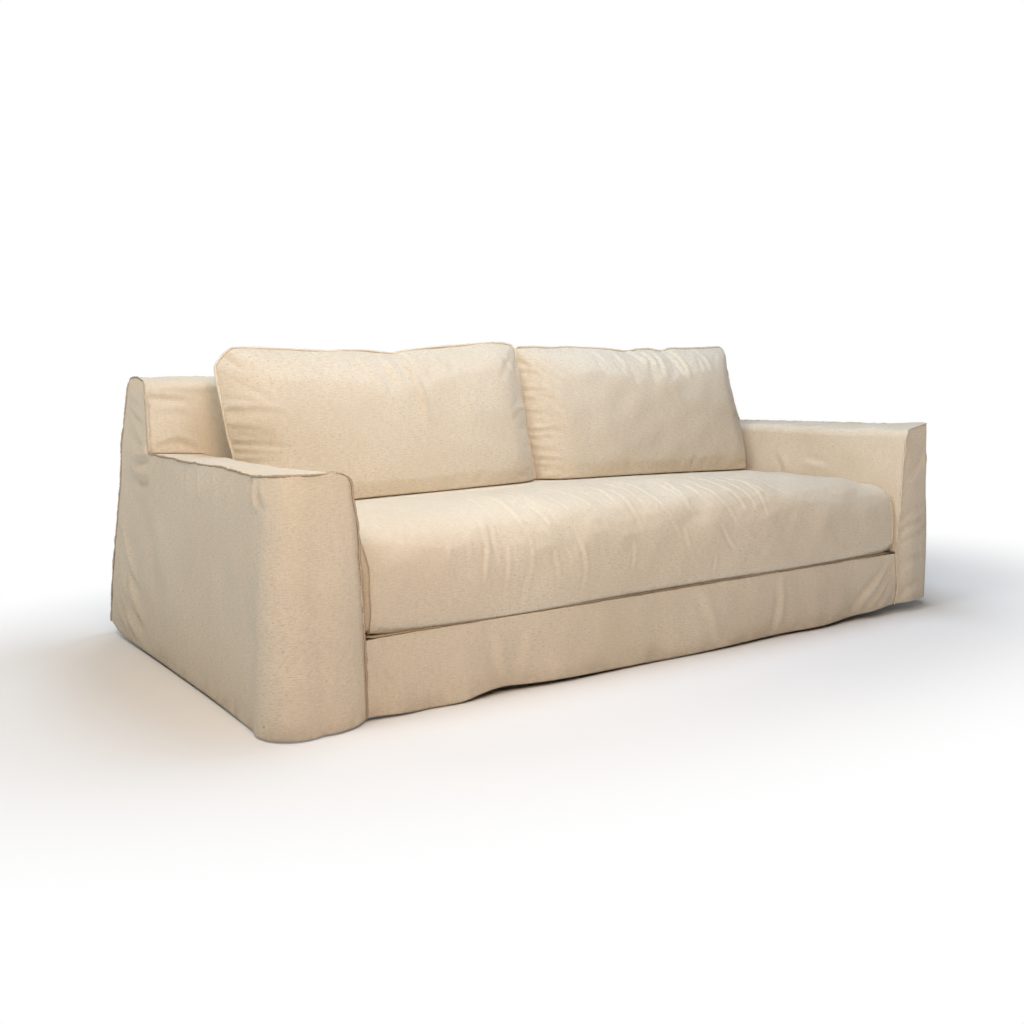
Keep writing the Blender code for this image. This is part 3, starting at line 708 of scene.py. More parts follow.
# Small random swell of washed cloth, from a few waves
def unevenness(across, along, seed, size, height):
    random = np.random.RandomState(seed)
    rise = np.zeros_like(across)
    for _ in range(26):
        angle = random.uniform(0, pi)
        wave = 2 * pi / (size * random.uniform(0.6, 1.8))
        phase = random.uniform(0, 2 * pi)
        rise += np.sin(wave * (across * cos(angle) + along * sin(angle)) + phase)
    return rise * height / 5


# Building the panels

def gridNormals(points):
    along = np.gradient(points, axis=0)
    up = np.gradient(points, axis=1)
    normal = np.cross(along, up)
    return normal / (np.linalg.norm(normal, axis=2, keepdims=True) + 1e-12)


# Distances over the cloth along its middle row and its columns, for the weave
def clothLengths(points):
    across = np.linalg.norm(np.diff(points, axis=0), axis=2)
    across = np.concatenate([np.zeros((1, points.shape[1])), np.cumsum(across, axis=0)])
    up = np.linalg.norm(np.diff(points, axis=1), axis=2)
    up = np.concatenate([np.zeros((points.shape[0], 1)), np.cumsum(up, axis=1)], axis=1)
    return across, up


# Draws the panel's outline in from the seams, along the cloth
def trimEdges(points, gap):
    result = points.copy()
    every = slice(None)
    for edge, inner in (((0, every), (1, every)), ((-1, every), (-2, every)),
                        ((every, 0), (every, 1)), ((every, -1), (every, -2))):
        inward = points[inner] - points[edge]
        result[edge] += gap * inward / (np.linalg.norm(inward, axis=1, keepdims=True) + 1e-9)
    return result


# A fine grid over the points, with its weave laid out over the cloth
def gridMesh(name, points, outward, values=None):
    columns, rows = points.shape[:2]
    across, up = clothLengths(points)
    bm = bmesh.new()
    bmesh.ops.create_grid(bm, x_segments=columns - 1, y_segments=rows - 1, size=1.0)
    spots = np.array([((v.co.x + 1) / 2 * (columns - 1), (v.co.y + 1) / 2 * (rows - 1)) for v in bm.verts])
    spots = np.rint(spots).astype(int)
    for vert, (c, r) in zip(bm.verts, spots):
        vert.co = points[c, r]
    bm.normal_update()
    facing = sum((face.normal * face.calc_area() for face in bm.faces), Vector())
    if facing.dot(Vector(outward)) < 0:
        bmesh.ops.reverse_faces(bm, faces=bm.faces)
    mesh = closeMesh(bm, bpy.data.meshes.new(name))
    c, r = spots.T
    setCloth(mesh, np.stack([across[c, r], up[c, r]], axis=1))
    for key, grid in (values or {}).items():
        attribute = mesh.attributes.new(key, "FLOAT", "POINT")
        attribute.data.foreach_set("value", grid[c, r].astype(np.float32))
    return mesh


def setCloth(mesh, laid):
    layer = mesh.uv_layers.new(name="cloth")
    corners = np.empty(len(mesh.loops), dtype=np.int32)
    mesh.loops.foreach_get("vertex_index", corners)
    layer.data.foreach_set("uv", laid[corners].astype(np.float32).ravel())


# Gives a mesh its cloth and its thickness, hangs it on the root body and hides the part it stands for
def finishPiece(name, mesh, material, node, thickness=0.0, slot=None):
    mesh.materials.append(material)
    mesh.shade_smooth()
    piece = placed(name, mesh)
    if thickness:
        wall = piece.modifiers.new("cloth", "SOLIDIFY")
        wall.thickness = thickness
        wall.offset = -1
    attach(piece, "root")
    if node:
        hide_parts(node)
    slot or slotOf(node)
    return piece


def slotOf(node):
    return next(part["material_slot"] for part in frame["record"]["subparts"] if part["node"] == node)


# Folds of each panel. Side panels are laid out by distance round from the rear edge and height

sideCreases = {
    "left": [
        # round the back post
        (14, 3, 176, 716, 244, 688, 325, 666), (14, 3, 169, 690, 229, 656, 313, 630),
        (14, 3, 182, 643, 264, 622, 343, 602), (14, 2, 190, 742, 240, 725, 300, 712),
        # where the arm meets it
        (19, 4.6, 225, 537, 310, 561, 395, 580), (20, 4.6, 205, 520, 290, 508, 400, 514),
        # short fold under the arm's seam
        (14, 6.5, 1128, 592, 1138, 553, 1150, 505), (14, 3, 1160, 575, 1180, 545, 1190, 520),
        (14, 2, 773, 565, 779, 533, 765, 495), (14, 1.8, 700, 570, 690, 540, 690, 500),
        (14, 1.8, 880, 575, 880, 540, 870, 500),
        # lower rear corner
        (18, 4, 120, 360, 192, 250, 279, 180), (18, 4.5, 60, 190, 140, 90, 260, 20),
        (20, 4.5, 150, 260, 210, 150, 317, 70), (16, 4, 100, 270, 128, 177, 190, 100),
        (16, 4, 30, 150, 98, 66, 170, 15),
    ],
    "right": [
        (18, 4, 250, 560, 420, 520, 600, 540), (18, 5, 150, 300, 220, 180, 320, 90),
        (22, 5, 800, 60, 930, 230, 1000, 450),
        # over the arm's front
        (14, 4.5, 1385, 430, 1335, 471, 1290, 520), (14, 5, 1430, 250, 1365, 283, 1290, 305),
        (14, 4, 1420, 215, 1351, 250, 1270, 274), (16, 5.5, 1430, 30, 1366, 69, 1280, 115),
        (14, 4, 1430, 295, 1367, 325, 1310, 350), (16, 4, 1430, 130, 1366, 165, 1290, 185),
    ],
}
sideDents = [
    # centre, half width, half length, lean, rise
    ((0.24, 0.46), 0.04, 0.12, 50, -0.007),
    ((0.42, 0.42), 0.06, 0.2, 20, 0.005),
    ((0.9, 0.28), 0.1, 0.22, 10, -0.005),
    ((1.2, 0.2), 0.06, 0.25, 5, 0.004),
    ((0.6, 0.15), 0.12, 0.12, -20, 0.005),
    ((1.37, 0.3), 0.05, 0.22, 4, 0.003),
]
skirtCreases = [
    (16, 5.5, -955, 165, -918, 100, -860, 35), (13, 3.5, -960, 100, -935, 60, -900, 15),
    (20, 4.5, -610, 160, -595, 90, -575, 10), (18, 3, -500, 150, -520, 90, -530, 20),
    (20, 3, 100, 180, 140, 100, 160, 20), (14, 4.5, 430, 165, 442, 94, 408, 15),
    # tight folds at the right end
    (13, 7, 962, 188, 886, 119, 765, 25), (12, 5.5, 960, 153, 911, 90, 820, 20),
    (12, 5, 962, 102, 915, 53, 860, 10), (10, 3, 960, 191, 914, 172, 850, 160),
]
backCreases = [
    (26, 6, -1000, 600, -950, 350, -900, 80), (30, 6, -450, 500, -420, 250, -440, 30),
    (28, 5, 80, 640, 60, 350, 100, 50), (30, 6, 560, 450, 520, 220, 540, 20),
    (26, 6, 1020, 600, 980, 330, 930, 60),
]
innerCreases = {
    # laid out by (depth, distance in from the arm's outer side and down)
    "left": [
        (12, 3.5, -330, 20, -418, 45, -517, 45), (14, 2.5, 180, 60, 50, 80, -80, 70),
        (14, 3, -100, 300, -180, 320, -260, 310),
    ],
    "right": [
        (14, 2.8, -300, 333, -240, 329, -185, 322), (11, 3, -22, 226, -35, 190, -55, 140),
        (11, 3, -53, 238, -89, 196, -140, 140), (12, 3, -215, 215, -249, 170, -310, 120),
        (16, 3, -60, 300, -90, 340, -110, 390), (13, 2.5, -430, 205, -480, 160, -550, 120),
    ],
}
insideCreases = [
    # laid out by (x, height and then distance over the top)
    (8, 3.5, -1175, 744, -1115, 738, -1040, 728), (11, 3.5, -1105, 630, -1066, 610, -1010, 575),
    (9, 2.5, -1159, 600, -1106, 618, -1050, 612), (12, 1.5, -1150, 690, -1100, 700, -1040, 690),
]


# 0 at the panel's outline, 1 from a reach inside it
def edgeFade(points, reach):
    across, up = clothLengths(points)
    near = np.minimum(np.minimum(across, across[-1:] - across), np.minimum(up, up[:, -1:] - up))
    return np.clip(near / reach, 0, 1)


def asArray(grid):
    return np.array([[tuple(point) for point in column] for column in grid])


# Distance round the panel from its rear edge, and height
def sideLayout(x, y, z):
    cornerY = cover["frontY"] + cover["cornerRadius"]
    flatEnd = cover["halfWidth"] - cover["cornerRadius"]
    straight, toCorner = rearEdge[0][1] - y, rearEdge[0][1] - cornerY
    turn = np.arctan2(cornerY - y, np.abs(x) - cover["halfWidth"] + cover["cornerRadius"])
    onCorner = toCorner + cover["cornerRadius"] * np.clip(turn, 0, pi / 2)
    return np.where(straight < toCorner, straight, onCorner + np.maximum(0, flatEnd - np.abs(x))), z


# 1 where the grid's own normals look outward, otherwise -1
def outwardSign(points, outward):
    return 1.0 if (gridNormals(points) @ np.array(outward)).mean() > 0 else -1.0


hemDirt = {"height": 0.07, "strength": 0.8, "fade": 1.5}
# seed, size and height of a panel's small swells, and how far in from its edge its folds fade
folds = {
    "side": (3, 0.16, 0.0016, 0.03),
    "inner": (8, 0.15, 0.0016, 0.03),
    "inside": (21, 0.18, 0.0015, 0.02),
    "outside": (22, 0.25, 0.003, 0.05),
    "skirt": (31, 0.14, 0.0018, 0.02),
}


def hemSoil(z):
    return hemDirt["strength"] * np.clip(1 - z / hemDirt["height"], 0, 1) ** hemDirt["fade"]


# One panel: its folds stand out along the cloth, its edges draw back from the seams
def addPanel(name, points, facing, rise, fade, gap, cloth, node, values=None):
    rise = rise * edgeFade(points, fade) * outwardSign(points, facing)
    points = trimEdges(points + gridNormals(points) * rise[..., None], gap)
    return finishPiece(name, gridMesh(name, points, facing, values), cloth, node, cover["cloth"])


# Every panel of the base cover; gives back the pieces, the outer seams and the rear seam
def buildCover(cloth):
    outer = {side["name"]: asArray(armSideGrid(side)) for side in (left, right)}
    inner = {side["name"]: armInnerGrid(side) for side in (left, right)}
    pieces = {}
    for side in (left, right):
        name, sign = side["name"], side["sign"]
        points = outer[name]
        x, y, z = np.moveaxis(points, 2, 0)
        seed, size, height, fade = folds["side"]
        around = sideLayout(x, y, z)
        rise = side["creaseGain"] * creaseRise(*around, sideCreases[name]) + dentRise(*around, sideDents)
        rise += unevenness(*around, seed + sign, size, height)
        pieces["side" + name] = addPanel("outer_arm_cloth_" + name, points, (sign, -0.3, 0), rise, fade,
                                         cover["seamGap"], cloth, "arm_side_" + name, {"soil": hemSoil(z)})
        points = asArray(inner[name])
        x, y, z = np.moveaxis(points, 2, 0)
        seed, size, height, fade = folds["inner"]
        down = cover["halfWidth"] - np.abs(x) + np.maximum(0, cover["armTopZ"] - z)
        rise = creaseRise(y, down, innerCreases[name]) + unevenness(y, down, seed + sign, size, height)
        pieces["inner" + name] = addPanel("inner_arm_cloth_" + name, points, (-sign, 0, 1), rise, fade,
                                          cover["panelGap"], cloth, "arm_inner_" + name)
        print("arm panels:", name)
    points = asArray(backInsideGrid(inner["left"][0], inner["right"][0]))
    x, y, z = np.moveaxis(points, 2, 0)
    *swell, fade = folds["inside"]
    rise = creaseRise(x, z + np.maximum(0, y - backTopY[0][1]), insideCreases) + unevenness(x, z, *swell)
    pieces["inside"] = addPanel("inside_back_cloth", points, (0, -1, 0.5), rise, fade, cover["panelGap"],
                                cloth, "back_inside")
    edges = [list(map(Vector, outer[name][0])) for name in ("right", "left")]
    points = asArray(spanGrid(*edges, cells["back"], cover["edgeFade"], backHem, shapeBackOutside))
    rearSeam = points[:, -1]
    x, y, z = np.moveaxis(points, 2, 0)
    *swell, fade = folds["outside"]
    rise = creaseRise(x, z, backCreases) + unevenness(x, z, *swell)
    pieces["outside"] = addPanel("outside_back_cloth", points, (0, 1, 0), rise, fade, cover["seamGap"], cloth,
                                 "back_outside", {"soil": hemSoil(z)})
    edges = [list(map(Vector, outer[name][-1][:cells["skirt"] + 1])) for name in ("left", "right")]
    points = asArray(spanGrid(*edges, cells["skirtAcross"], cover["skirtFade"], skirtHem, shapeSkirt))
    x, y, z = np.moveaxis(points, 2, 0)
    *swell, fade = folds["skirt"]
    rise = creaseRise(x, z, skirtCreases) + unevenness(x, z, *swell)
    pieces["skirt"] = addPanel("front_skirt_cloth", points, (0, -1, 0), rise, fade, cover["seamGap"], cloth,
                               "front_skirt", {"soil": hemSoil(z)})
    start, end = (np.array([column[-1] for column in inner[name]])[::-6] for name in ("left", "right"))
    points = np.array([start + (end - start) * t for t in steps(cells["deck"])])
    points = trimEdges(points, cover["deckGap"]) - (0, 0, cover["deckDrop"])
    mesh = gridMesh("deck_cloth", points, (0, 0, 1))
    pieces["deck"] = finishPiece("deck_cloth", mesh, cloth, "deck", cover["cloth"])
    print("cover panels done")
    return pieces, outer, rearSeam


# Turned seams: a narrow standing flange along the line where panels meet

flange = {
    "height": 0.0036,
    "sunk": 0.0016,
    "thickness": 0.0018,
    "step": 0.004,
    "waver": 0.001,
    "raggedness": 0.18,
    "levels": (0.0, 0.25, 0.45, 0.65, 0.85, 1.0),
    "cornerSpan": 16,       # steps over which it lies flat at a front corner
}
piping = {"radius": 0.0036, "waver": 0.1, "sides": 10, "step": 0.006, "out": 0.0026, "endShare": 0.3}


# The line in even steps, with rows of numbers carried along it
def resample(points, step, others=()):
    points = np.asarray(points, dtype=float)
    lengths = np.concatenate([[0], np.cumsum(np.linalg.norm(np.diff(points, axis=0), axis=1))])
    at = np.linspace(0, lengths[-1], max(4, int(lengths[-1] / step)) + 1)

    def laid(rows):
        rows = np.asarray(rows, dtype=float)
        return np.stack([np.interp(at, lengths, row) for row in rows.T], axis=1)

    return (laid(points), *(laid(rows) for rows in others))


# Soft random numbers of about 1 along a line
def waver(random, count, spread=7):
    rough = random.normal(0, 1, count + 4 * spread)
    return np.convolve(rough, np.ones(spread) / spread ** 0.5, "same")[2 * spread:-2 * spread]


# A flange along the points, standing outwards. Rows of looks: height, and how much thread colour and painted
# shade it has at its root and at its raw edge
def addSeam(name, points, outwards, looks, cloth, node, seed, slot=None):
    random = np.random.RandomState(seed)
    line, stand, looks = resample(points, flange["step"], (outwards, looks))
    tall, root, tip = looks.T
    stand /= np.linalg.norm(stand, axis=1, keepdims=True)
    along = np.gradient(line, axis=0)
    side = np.cross(along / np.linalg.norm(along, axis=1, keepdims=True), stand)
    line = line + side * (flange["waver"] * waver(random, len(line), 9))[:, None]
    height = flange["height"] * tall * (1 + flange["raggedness"] * waver(random, len(line), 5))
    levels = np.array(flange["levels"])
    grid = np.stack([line + stand * ((flange["sunk"] + height) * level - flange["sunk"])[:, None]
                     for level in levels], axis=1)
    # painted shade with the thread colour, strongest at the flange's root and at its raw edge
    edge = root[:, None] * np.clip(1.5 - 2 * levels, 0, 1) + tip[:, None] * np.clip(2 * levels - 1, 0, 1)
    mesh = gridMesh(name, grid, (0, -1, 0), {"edge": edge})
    piece = finishPiece(name, mesh, cloth, node, flange["thickness"], slot)
    piece.modifiers["cloth"].offset = 0
    return piece


# A covered cord along the points, its ends closed
def addPiping(name, points, cloth, slot, seed):
    random = np.random.RandomState(seed)
    (line,) = resample(points, piping["step"])
    along = np.gradient(line, axis=0)
    along /= np.linalg.norm(along, axis=1, keepdims=True)
    first = np.cross(along, (0.0, 1.0, 0.0))
    first /= np.linalg.norm(first, axis=1, keepdims=True)
    second = np.cross(along, first)
    radius = piping["radius"] * (1 + piping["waver"] * waver(random, len(line), 4))
    radius[[0, -1]] *= piping["endShare"]
    angles = np.linspace(0, 2 * pi, piping["sides"] + 1)
    grid = np.stack([line + (first * cos(angle) + second * sin(angle)) * radius[:, None]
                     for angle in angles], axis=1)
    mesh = gridMesh(name, grid, (0, -1, 0))
    bm = openMesh(mesh)
    bmesh.ops.remove_doubles(bm, verts=bm.verts, dist=1e-6)
    bmesh.ops.holes_fill(bm, edges=bm.edges)
    bmesh.ops.recalc_face_normals(bm, faces=bm.faces)
    return finishPiece(name, closeMesh(bm, mesh), cloth, None, 0.0, slot)


# Filled cushions

seat = {
    "voxel": 0.018,
    "inset": 0.004,
    "cap": 0.01,
    "pressure": 4.0,
    "free": (0.04, 0.14),          # distances in front of the middle between which its top starts to swell
    "endX": 0.952,                 # place of its end seams
    "creaseGain": -0.65,           # dips on the left of each crease, ridges on its right
    "sag": (                       # its lower front edge hangs over the skirt: (x, drop)
        (-0.95, 0.0), (-0.885, -0.004), (-0.77, -0.011), (-0.66, -0.014), (-0.56, -0.016), (-0.4, -0.013),
        (-0.2, -0.008), (0.09, -0.006), (0.21, -0.006), (0.4, -0.01), (0.55, -0.011), (0.78, -0.008),
        (0.95, -0.002),
    ),
    "tuckTop": 0.245,              # height from which its front rounds back underneath
    "tuckRadius": 0.08,
    "lipFront": 0.59,              # how far forward that rounding leaves its lower edge
    "lowBand": (0.205, 0.3),       # heights over which the sag dies out
    "hangBand": (0.572, 0.588),    # distances forward over which it sets in
    "press": 0.03,                 # how far its right end bulges over to the arm
    "bulgeX": (0.82, 0.96),        # where that bulge sets in
    "bulgeY": (0.2, 0.5),
    "bulgeFoot": (0.2, 0.235),
    "bulgeTop": (0.36, 0.44),
    "creasedX": (-0.8, 0.56),      # the part with fine creases, which gets a finer mesh
    "creasedY": (-0.72, -0.03),
    "endReach": (0.94, 0.975),     # its ends are held still between these
    "swells": ((41, 0.15, 0.0018), (42, 0.06, 0.0006)),     # seed, size, height
    "foldsRise": 0.04,             # its folds set in over this height above the deck
    "foldsFromY": (0.03, 0.09),
    "seamAngles": (-25, 158),      # from under the front edge over the top to the rear
    "seamSteps": 150,
    "seamLean": 0.5,
    "fill": 0.75,
}
backCushions = {
    "columns": 104,
    "rise": 54,
    "thickness": 0.195,
    "contact": 0.0006,
    "edgeHalf": 0.0035,
    "edgeRear": 0.006,
    "rearFull": 1.4,
    "cornerIn": 0.01,
    "sideIn": 0.004,
    "corners": {                   # reach and squareness of its upper corners, outer and inner
        "left": ((0.054, 1.25), (0.012, 2.0)),
        "right": ((0.009, 2.0), (0.026, 2.0)),
    },
    "forward": {                   # how far its outer edge stands forward: (height, distance)
        "left": (
            (0.44, 0.036), (0.59, 0.031), (0.62, 0.029), (0.65, 0.039), (0.7, 0.044), (0.73, 0.041),
            (0.77, 0.034), (0.8, 0.029), (0.86, 0.018),
        ),
        "right": (
            (0.42, 0.05), (0.56, 0.049), (0.61, 0.04), (0.68, 0.028), (0.73, 0.018), (0.78, 0.009),
            (0.86, 0.006),
        ),
    },
    "edgeShare": 0.22,             # share of the width that follows it
    "outerForward": 0.034,         # how far the rest stands forward on the outer side
    "middleForward": 0.07,         # and where the two meet
    "slack": 0.93,                 # share of its thickness before it is filled
    "cap": 0.011,
    "rearCap": 0.12,               # share of it on the rear
    "pressure": 4.0,
    "shrink": -0.012,
    "puckerGain": 0.7,
    "fanGain": -0.85,
    "fill": 0.75,
    "pipingSteps": (60, 110),      # up a side, along the top
    "swell": (50, 0.15, 0.0014),   # seed, size, height
    "fullAcross": (
        (0.0, 0.0), (0.008, 0.16), (0.025, 0.38), (0.06, 0.66), (0.115, 0.83), (0.195, 0.92),
        (0.28, 0.97), (0.4, 1.0),
    ),
    "fullUp": (
        (0.0, 0.9), (0.045, 0.95), (0.115, 0.99), (0.3, 1.0), (0.54, 0.985), (0.655, 0.95),
        (0.76, 0.905), (0.85, 0.83), (0.92, 0.71), (0.965, 0.53), (0.988, 0.3), (1.0, 0.0),
    ),
}
air = {"frames": 20, "quality": 5, "bending": 0.5}
seatLine = ((-0.98, 0.432), (-0.5, 0.44), (0.0, 0.444), (0.5, 0.434), (0.98, 0.415))
cushionTop = (
    (-0.97, 0.871), (-0.912, 0.871), (-0.868, 0.87), (-0.824, 0.868), (-0.73, 0.863), (-0.641, 0.859),
    (-0.588, 0.861), (-0.537, 0.86), (-0.481, 0.855), (-0.44, 0.85), (-0.416, 0.855), (-0.365, 0.861),
    (-0.303, 0.867), (-0.179, 0.874), (-0.121, 0.878), (-0.061, 0.88), (-0.018, 0.876), (0.006, 0.868),
    (0.026, 0.866), (0.09, 0.866), (0.147, 0.863), (0.214, 0.864), (0.29, 0.862), (0.376, 0.858),
    (0.446, 0.852), (0.482, 0.848), (0.538, 0.853), (0.595, 0.855), (0.659, 0.847), (0.7, 0.855),
    (0.769, 0.855), (0.87, 0.856), (0.973, 0.857),
)
# side edges of the back cushions: (height, x)
cushionSides = {
    "left": (
        ((0.44, -0.978), (0.6, -0.986), (0.68, -1.0), (0.87, -1.004)),
        ((0.44, 0.0098), (0.87, 0.0098)),
    ),
    "right": (
        ((0.44, 0.0022), (0.87, 0.0022)),
        (
            (0.42, 0.98), (0.61, 0.987), (0.68, 0.994), (0.74, 0.998), (0.82, 1.008), (0.84, 1.013),
            (0.86, 1.015),
        ),
    ),
}
# Creases of the seat, laid out by (x, distance forward over the top and down the front)
seatCreases = [
    (6.8, 4.2, -440, -214, -503, 27, -507, 150, -491, 217, -490, 254, -497, 317),
    (6.8, 4.5, -417, -103, -434, 66, -422, 175, -392, 231, -372, 277, -365, 309),
    (6.4, 2.8, -271, -168, -269, -29, -270, 105, -242, 184, -224, 237),
    (6.4, 2.8, -331, -314, -390, -76, -426, 115, -401, 179),
    (6.4, 2.8, -466, -277, -554, -15, -582, 146, -572, 203),
    (7.6, 5.5, -616, 102, -623, 167, -623, 219, -633, 267, -639, 321),
    (6.8, 3.2, -588, 130, -600, 207, -595, 253, -595, 292),
    (6.8, 3.2, -578, 177, -563, 229, -566, 277, -574, 352, -568, 386),
    (7.2, 4.5, -350, 213, -335, 247, -324, 289, -319, 338, -327, 383),
    (6.8, 3.5, -421, 250, -418, 291, -402, 340),
    (8.8, 3.5, -504, 253, -493, 281, -497, 317, -517, 360, -515, 408),
    (7.2, 2.2, -731, 154, -731, 200, -738, 252), (7.2, 2.2, -676, 146, -673, 202, -680, 261),
    (6.8, 3, -156, 260, -150, 302, -157, 345), (6.4, 2.8, -157, -241, -134, -111, -178, 111, -155, 186),
    (6.4, 2.8, 29, -256, -28, -32, -34, 151, 8, 233, 18, 287), (6.4, 2.8, 94, -173, 61, 18, 57, 141, 82, 216),
    (6.8, 3.8, 263, -100, 262, 81, 275, 149, 289, 229), (6.8, 3.8, 207, -100, 183, 111, 220, 194, 246, 270),
    (6.4, 3, 152, -100, 132, 110, 161, 187, 204, 251), (6.4, 3, 380, -100, 373, 61, 367, 146, 367, 244),
    (6.4, 3, 320, -120, 315, 71, 322, 150, 330, 230), (6.4, 3, 116, -80, 61, 130, 87, 207, 117, 264),
    (6.4, 3, -74, 137, -24, 193, 10, 253, 56, 304), (6.4, 3, -123, -50, -136, 137, -123, 206, -118, 260),
    (6.8, 2.8, 373, 21, 390, 133, 418, 176, 459, 219), (7.2, 2.2, 440, -80, 452, 90, 490, 160),
    (7.2, 3.8, 177, 250, 200, 293, 236, 335), (6.8, 3, 35, 240, 40, 277, 56, 318),
    (6.8, 2.5, 158, 333, 156, 356, 157, 395), (6.4, 2.4, -340, -60, -345, 90, -330, 170),
    (6.4, 2.4, -220, -130, -222, 60, -205, 150), (6.4, 2.2, -40, -160, -90, 60, -80, 160),
]
# Creases of the back cushions, laid out by (x, height): pulled in from the edge, and hanging from the top
edgePuckers = {
    "left": [
        (12, 7, -990, 704, -923, 712, -850, 693), (9, 4.5, -988, 659, -946, 656, -900, 648),
        (10, 5.5, -985, 613, -918, 612, -835, 602), (9, 4.5, -984, 590, -931, 588, -870, 584),
        (9, 4, -982, 562, -938, 566, -890, 572), (9, 3.5, -995, 742, -922, 727, -856, 731),
        (10, 3, -980, 530, -930, 535, -880, 530), (11, 4, 4, 812, -30, 770, -40, 720),
        (10, 2.5, 4, 690, -30, 680, -70, 684), (10, 2.5, 4, 600, -30, 596, -80, 604),
    ],
    "right": [
        (7, 4.2, 8, 830, 28, 812, 50, 806), (8, 4.8, 8, 794, 38, 789, 62, 777),
        (7, 4, 8, 736, 40, 734, 78, 731), (8, 4.5, 8, 706, 44, 700, 66, 697),
        (7, 2.5, 8, 664, 30, 664, 52, 657), (8, 4.4, 8, 604, 46, 607, 85, 616),
        (7, 3.6, 8, 577, 53, 584, 98, 581), (8, 4.2, 8, 551, 36, 546, 60, 550),
        (8, 4.6, 8, 517, 50, 515, 92, 506), (7, 3.6, 8, 493, 42, 489, 70, 497),
        (9, 5.5, 20, 448, 60, 461, 115, 466), (10, 2.8, 1010, 760, 960, 750, 900, 757),
        (10, 2.8, 1000, 660, 950, 655, 890, 662), (10, 2.8, 990, 560, 940, 560, 880, 552),
    ],
}
topFans = {
    "left": [
        (12, 5, -487, 760, -493, 813, -503, 856), (14, 7, -421, 650, -429, 771, -445, 852),
        (11, 5, -393, 775, -397, 819, -417, 856), (10, 3.5, -321, 795, -325, 831, -340, 862),
        (11, 4, -585, 755, -602, 808, -631, 862), (11, 4.5, -540, 740, -556, 787, -581, 855),
        (10, 3, -660, 790, -670, 823, -690, 866), (12, 2.5, -747, 790, -765, 830, -795, 868),
        (10, 4.5, -35, 740, -54, 793, -87, 848),
    ],
    "right": [
        (11, 3.5, 414, 800, 412, 832, 402, 858), (11, 4, 517, 800, 507, 832, 477, 857),
        (11, 4, 559, 795, 557, 830, 537, 856), (11, 4, 568, 760, 587, 809, 602, 853),
        (11, 4.5, 673, 757, 668, 808, 652, 852), (10, 4.5, 684, 750, 697, 815, 690, 853),
        (12, 3.5, 807, 775, 817, 820, 808, 858), (13, 2.5, 633, 648, 600, 696, 575, 735),
        (10, 2.5, 332, 812, 324, 840, 307, 862), (9, 4, 34, 800, 17, 835, 2, 862),
    ],
}


def evaluated(thing):
    graph = bpy.context.evaluated_depsgraph_get()
    return bpy.data.meshes.new_from_object(thing.evaluated_get(graph))


def vectors(collection, key):
    values = np.empty(len(collection) * 3)
    collection.foreach_get(key, values)
    return values.reshape(-1, 3)


def applyModifiers(thing):
    old, fresh = thing.data, evaluated(thing)
    thing.modifiers.clear()
    thing.data = fresh
    bpy.data.meshes.remove(old)


def refine(thing):
    soft = thing.modifiers.new("soft", "SUBSURF")
    soft.levels = soft.render_levels = 1
    applyModifiers(thing)


def move(mesh, places):
    mesh.vertices.foreach_set("co", places.ravel())
    mesh.update()


# Swells the cloth under pressure, each point by no more than its share of the cap
def fillWithAir(piece, settings, mask, pinned=None):
    start = vectors(piece.data.vertices, "co")
    filler = piece.modifiers.new("air", "CLOTH")
    filler.settings.use_pressure = True
    filler.settings.uniform_pressure_force = settings["pressure"]
    filler.settings.effector_weights.gravity = 0
    filler.settings.quality = air["quality"]
    filler.settings.shrink_min = settings.get("shrink", 0.0)
    filler.settings.bending_stiffness = air["bending"]
    filler.point_cache.frame_start = 1
    filler.point_cache.frame_end = air["frames"]
    if pinned is not None:
        group = piece.vertex_groups.new(name="pinned")
        group.add([int(k) for k in np.flatnonzero(pinned)], 1.0, "REPLACE")
        filler.settings.vertex_group_mass = "pinned"
    for frameNumber in range(1, air["frames"] + 1):
        bpy.context.scene.frame_set(frameNumber)
    swollen = evaluated(piece)
    moved = vectors(swollen.vertices, "co") - start
    bpy.data.meshes.remove(swollen)
    distance = np.linalg.norm(moved, axis=1)
    share = np.minimum(1.0, settings["cap"] / np.maximum(distance, 1e-9)) * mask(start)
    piece.modifiers.clear()
    piece.vertex_groups.clear()
    bpy.context.scene.frame_set(1)
    move(piece.data, start + moved * share[:, None])
    print(piece.name, "filled, largest move", round(float(distance.max()), 4))


def finishCushion(piece, rise, across, up, node, cloth):
    mesh = piece.data
    move(mesh, vectors(mesh.vertices, "co") + vectors(mesh.vertex_normals, "vector") * rise[:, None])
    setCloth(mesh, np.stack([across, up], axis=1))
    mesh.materials.clear()
    mesh.materials.append(cloth)
    mesh.shade_smooth()
    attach(piece, "root")
    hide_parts(node)
    slotOf(node)
    print("cushion:", node, len(mesh.polygons), "faces")


def smoothStep(values, low, high):
    t = np.clip((values - low) / (high - low), 0, 1)
    return t * t * (3 - 2 * t)


# 1 where the seat's cover is free to swell, 0 where something lies on it or under it
def seatFree(places):
    back = smoothStep(-places[:, 1], *seat["free"])
    low = smoothStep(places[:, 2], cover["deckZ"] - 0.002, cover["deckZ"] + 0.03)
    still, free = seat["endReach"][::-1]
    return back * low * smoothStep(-np.abs(places[:, 0]), -still, -free)


